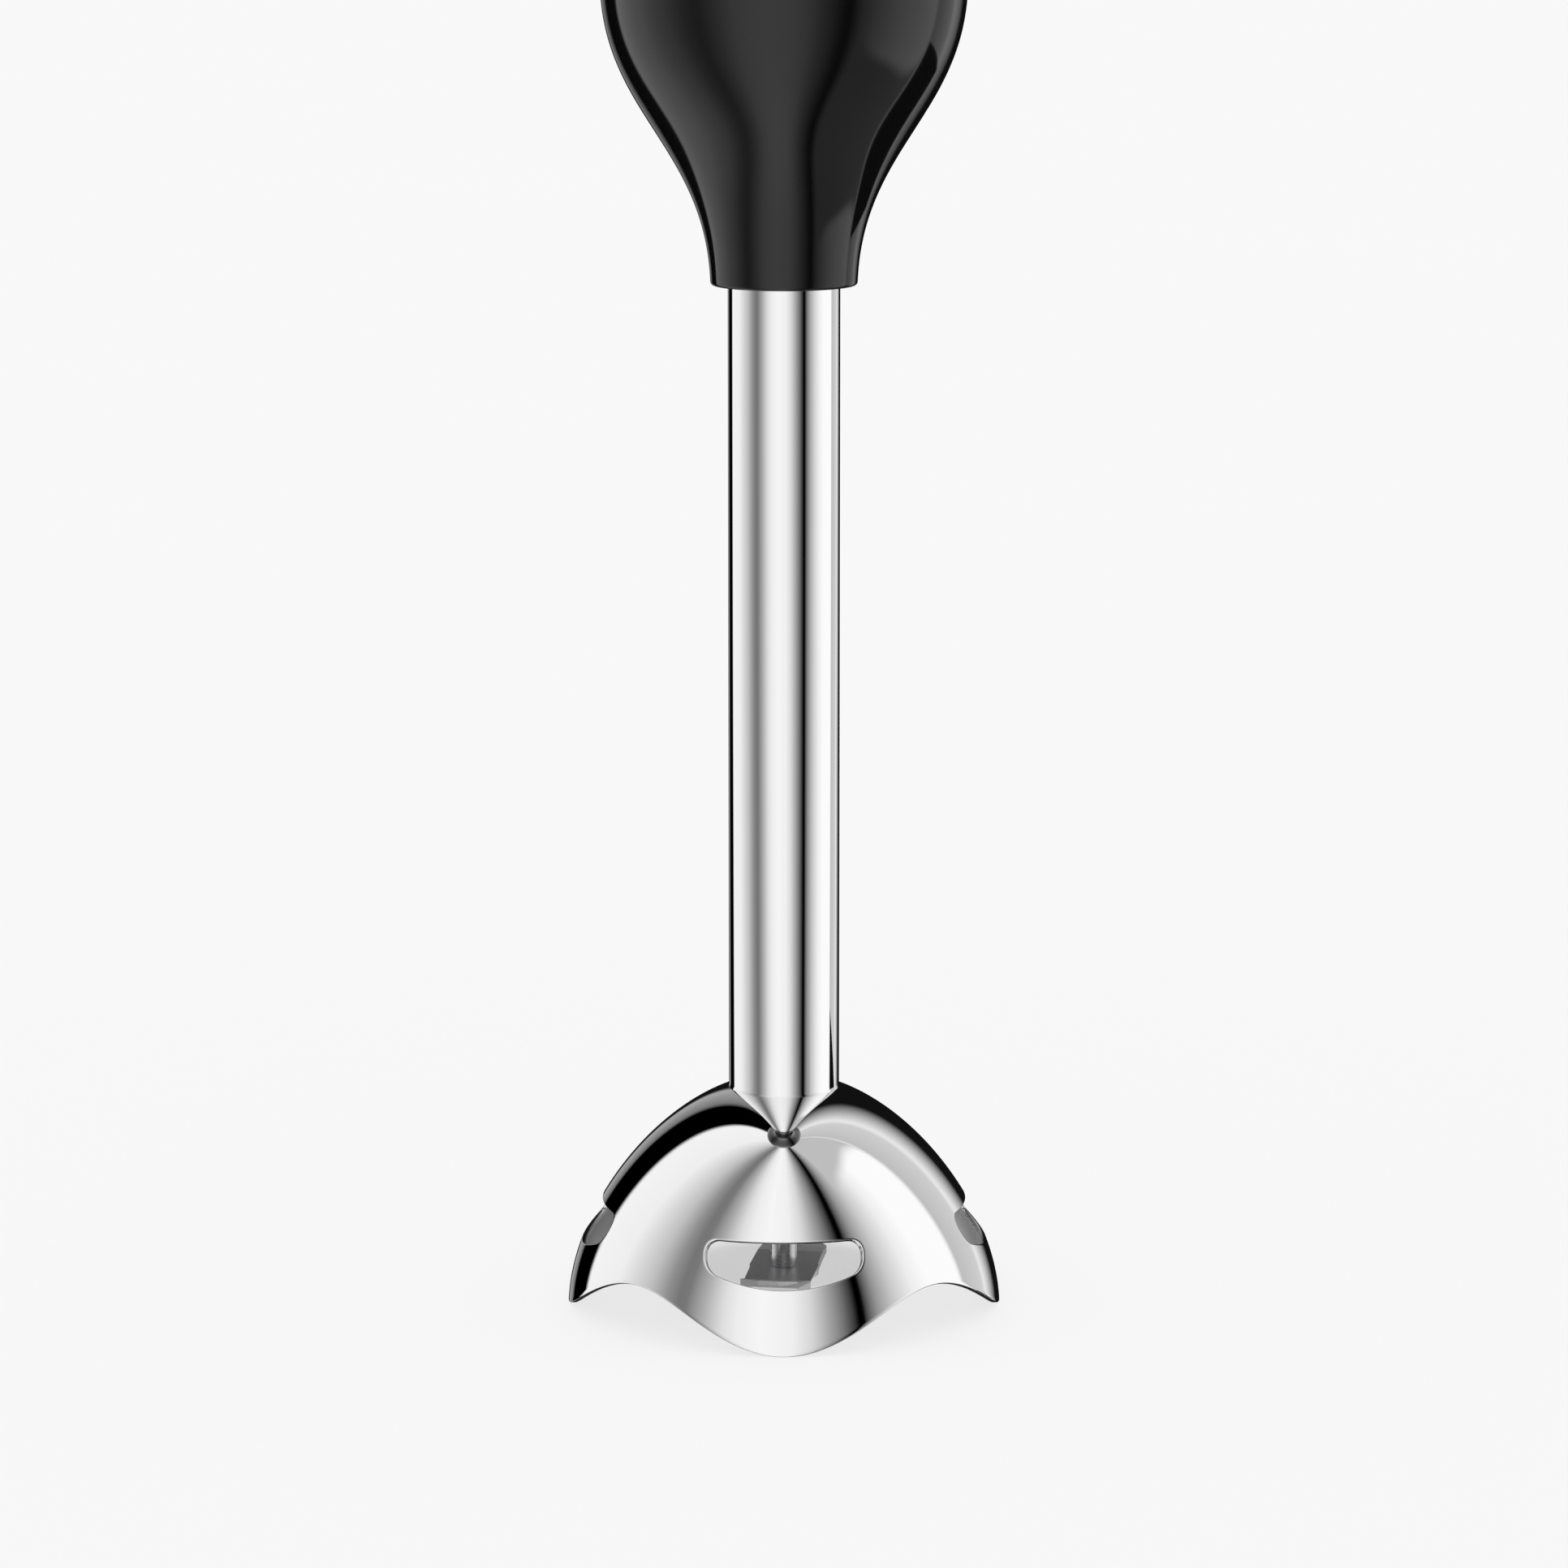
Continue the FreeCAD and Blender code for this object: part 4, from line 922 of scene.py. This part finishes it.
# ---- stage
# brightness of the studio round the object, by bearing in degrees: 0 is in front, 90 is to the right
STUDIO_BANDS = [
    (-180, 0.006), (-168, 0.006), (-166, 0.40), (-155, 0.20), (-152, 0.0), (-133, 0.0), (-130.5, 0.96),
    (-104, 0.92), (-94, 0.77), (-80, 0.56), (-68, 0.296), (-60, 0.19), (-55, 0.20), (-44, 0.45), (-33, 0.78),
    (-25, 0.91), (-12, 0.99), (4, 0.93), (14, 0.73), (24, 0.39), (35, 0.096), (40, 0.0), (43.5, 0.0), (52, 0.32),
    (63, 0.63), (76, 0.91), (88, 1.04), (112, 1.04), (115, 0.55), (134, 0.66), (137, 0.88), (154, 0.006),
]


def studio_world(backdrop):
    """The studio's surroundings: a plain pale backdrop that lights the object softly, and for reflections
    upright panels of light and dark, with one large soft box at the right."""
    world = bpy.data.worlds.new("studio")
    world.use_nodes = True
    world.cycles.sampling_method = "NONE"
    world.node_tree.nodes.clear()
    place = node(world, "ShaderNodeTexCoord")
    split = node(world, "ShaderNodeSeparateXYZ", Vector=place.outputs["Generated"])
    toward = math_node(world, "MULTIPLY", split.outputs["Y"], -1.0)
    bearing = math_node(world, "ARCTAN2", split.outputs["X"], toward)
    height = math_node(world, "ARCSINE", split.outputs["Z"])
    along = math_node(world, "ADD", math_node(world, "DIVIDE", bearing, 2 * math.pi), 0.5)
    bands = node(world, "ShaderNodeValToRGB", Fac=along)
    stops = bands.color_ramp.elements
    stops.remove(stops[1])
    for at, grey in STUDIO_BANDS:
        stop = stops[0] if at == -180 else stops.new(at / 360 + 0.5)
        stop.color = (grey, grey, grey, 1)

    # the soft box is a rounded rectangle in bearing and height, as a soft-edged superellipse, and outside it
    # its bearings are held to a plain grey
    box_left, box_right = 47.0, 113.0
    powers = []
    for angle, middle, half in ((bearing, 84.0, 37.0), (height, 14.0, 51.0)):
        off = math_node(world, "SUBTRACT", angle, math.radians(middle))
        share = math_node(world, "ABSOLUTE", math_node(world, "DIVIDE", off, math.radians(half)))
        powers.append(math_node(world, "POWER", share, 4.0))
    inside = node(world, "ShaderNodeMapRange", From_Min=1.0, From_Max=0.55, Value=math_node(world, "ADD", *powers))
    inside.interpolation_type = "SMOOTHSTEP"
    beside = math_node(world, "ADD", math_node(world, "LESS_THAN", bearing, math.radians(box_left)),
                       math_node(world, "GREATER_THAN", bearing, math.radians(box_right)))
    open_sky = math_node(world, "MAXIMUM", inside.outputs["Result"], beside)
    surround = node(world, "ShaderNodeMapRange", Value=height, From_Min=-0.7, From_Max=0.7, To_Min=0.30,
                    To_Max=0.55)
    held = math_node(world, "MINIMUM", bands.outputs["Color"], surround.outputs["Result"])
    lit = mixed(world, open_sky, held, bands.outputs["Color"])

    # a black panel low on the right, behind the soft box
    panel_left, panel_right, panel_top = 115.0, 141.0, -19.0
    panel = math_node(world, "MULTIPLY", math_node(world, "GREATER_THAN", bearing, math.radians(panel_left)),
                      math_node(world, "LESS_THAN", bearing, math.radians(panel_right)))
    panel = math_node(world, "MULTIPLY", panel, math_node(world, "LESS_THAN", height, math.radians(panel_top)))
    seen = mixed(world, panel, lit, (0.004, 0.004, 0.004, 1))

    rays = node(world, "ShaderNodeLightPath")
    chosen = mixed(world, rays.outputs["Is Glossy Ray"], (backdrop, backdrop, backdrop, 1), seen)
    background = node(world, "ShaderNodeBackground", Color=chosen)
    node(world, "ShaderNodeOutputWorld", Surface=background.outputs[0])
    return world


def floor_material(backdrop):
    """A pale floor that glows a little, so that the soft shadow round the object stays light. On a soft spot under
    the rear of the guard its emission is less: a painted shadow, put where the blade's shade would fall."""
    share = 0.2
    material, bsdf = shader("pale_floor", (share, share, share), 0.0, 1.0, Specular_IOR_Level=0.0,
                            Emission_Color=(1, 1, 1, 1))
    tinted(material, bsdf, object_noise(material, 3), [share * 0.99] * 3, [share * 1.01] * 3)
    # painted shadow: within a spot behind the axis the floor's emission falls smoothly to a share of its full
    # strength
    spot, painted_shadow_core, fade, painted_shadow_least = (0, 0.021, 0), 0.012, 0.022, 0.72
    distance = node(material, "ShaderNodeVectorMath")
    distance.operation = "DISTANCE"
    for socket, value in zip(distance.inputs, (object_place(material), spot)):
        feed(material, socket, value)
    full = backdrop * (1 - share)
    # the floor's emission strength, lowered on that spot as painted shadow
    glow_with_painted_shadow = node(material, "ShaderNodeMapRange", Value=distance.outputs["Value"], From_Min=painted_shadow_core, From_Max=fade,
                To_Min=full * painted_shadow_least, To_Max=full)
    glow_with_painted_shadow.interpolation_type = "SMOOTHSTEP"
    feed(material, bsdf.inputs["Emission Strength"], glow_with_painted_shadow.outputs["Result"])
    return material


class MakeStage(bpy.types.Operator):
    """Makes the pale floor, the soft studio light and the camera"""
    bl_idname = "hand_blender.stage"
    bl_label = "Stage"

    def execute(self, context):
        settings = context.scene.hand_blender_studio
        scene = context.scene
        a = np.linspace(0, 2 * np.pi, 96, endpoint=False)
        r = np.array([0.001, 0.2, 1.0, 30.0])[:, None]
        below = 0.02 * MM  # just clear of the guard's tips
        disc = np.stack([r * np.cos(a), r * np.sin(a), 0 * r * a - below], -1)
        floor = grid_object("floor", [(disc, False, True)])
        floor.data.materials.append(floor_material(settings.backdrop))
        floor.visible_glossy = False
        scene.world = studio_world(settings.backdrop)
        scene.view_settings.view_transform = "Standard"

        camera = bpy.data.objects.new("camera", bpy.data.cameras.new("camera"))
        scene.collection.objects.link(camera)
        camera.data.lens = settings.lens
        camera.data.sensor_width = 36
        camera.data.clip_start = 0.01
        drop = math.atan2(settings.camera_height - settings.aim_height, settings.camera_distance)
        camera.location = (0, -settings.camera_distance, settings.camera_height)
        camera.rotation_euler = (math.pi / 2 - drop, 0, 0)
        scene.camera = camera
        return {"FINISHED"}


# ---- add-on
PIECES = (MakeBladeGuard, MakeTube, MakeCollar, MakeHousing, MakeGrips, MakeButtons, MakeTop, MakeTurnedParts,
          MakeSprings, FinishInnerParts)


class BlenderPanel(bpy.types.Panel):
    """Lists the pieces of the immersion blender"""
    bl_idname = "VIEW3D_PT_hand_blender"
    bl_label = "Immersion blender"
    bl_space_type = "VIEW_3D"
    bl_region_type = "UI"
    bl_category = "Immersion blender"

    def draw(self, context):
        for operator in PIECES + (MakeStage,):
            self.layout.operator(operator.bl_idname)


SETTINGS = {"studio": StudioSettings, "guard": GuardSettings, "handle": HandleSettings, "colors": ColorSettings}
CLASSES = (*SETTINGS.values(), *PIECES, MakeStage, BlenderPanel)


def register():
    for cls in CLASSES:
        bpy.utils.register_class(cls)
    for name, group in SETTINGS.items():
        setattr(bpy.types.Scene, "hand_blender_" + name, PointerProperty(type=group))


def unregister():
    for name in SETTINGS:
        delattr(bpy.types.Scene, "hand_blender_" + name)
    for cls in reversed(CLASSES):
        bpy.utils.unregister_class(cls)


def main():
    register()
    for operator in PIECES + (MakeStage,):
        group, name = operator.bl_idname.split(".")
        getattr(getattr(bpy.ops, group), name)()


if __name__ == "__main__":
    main()
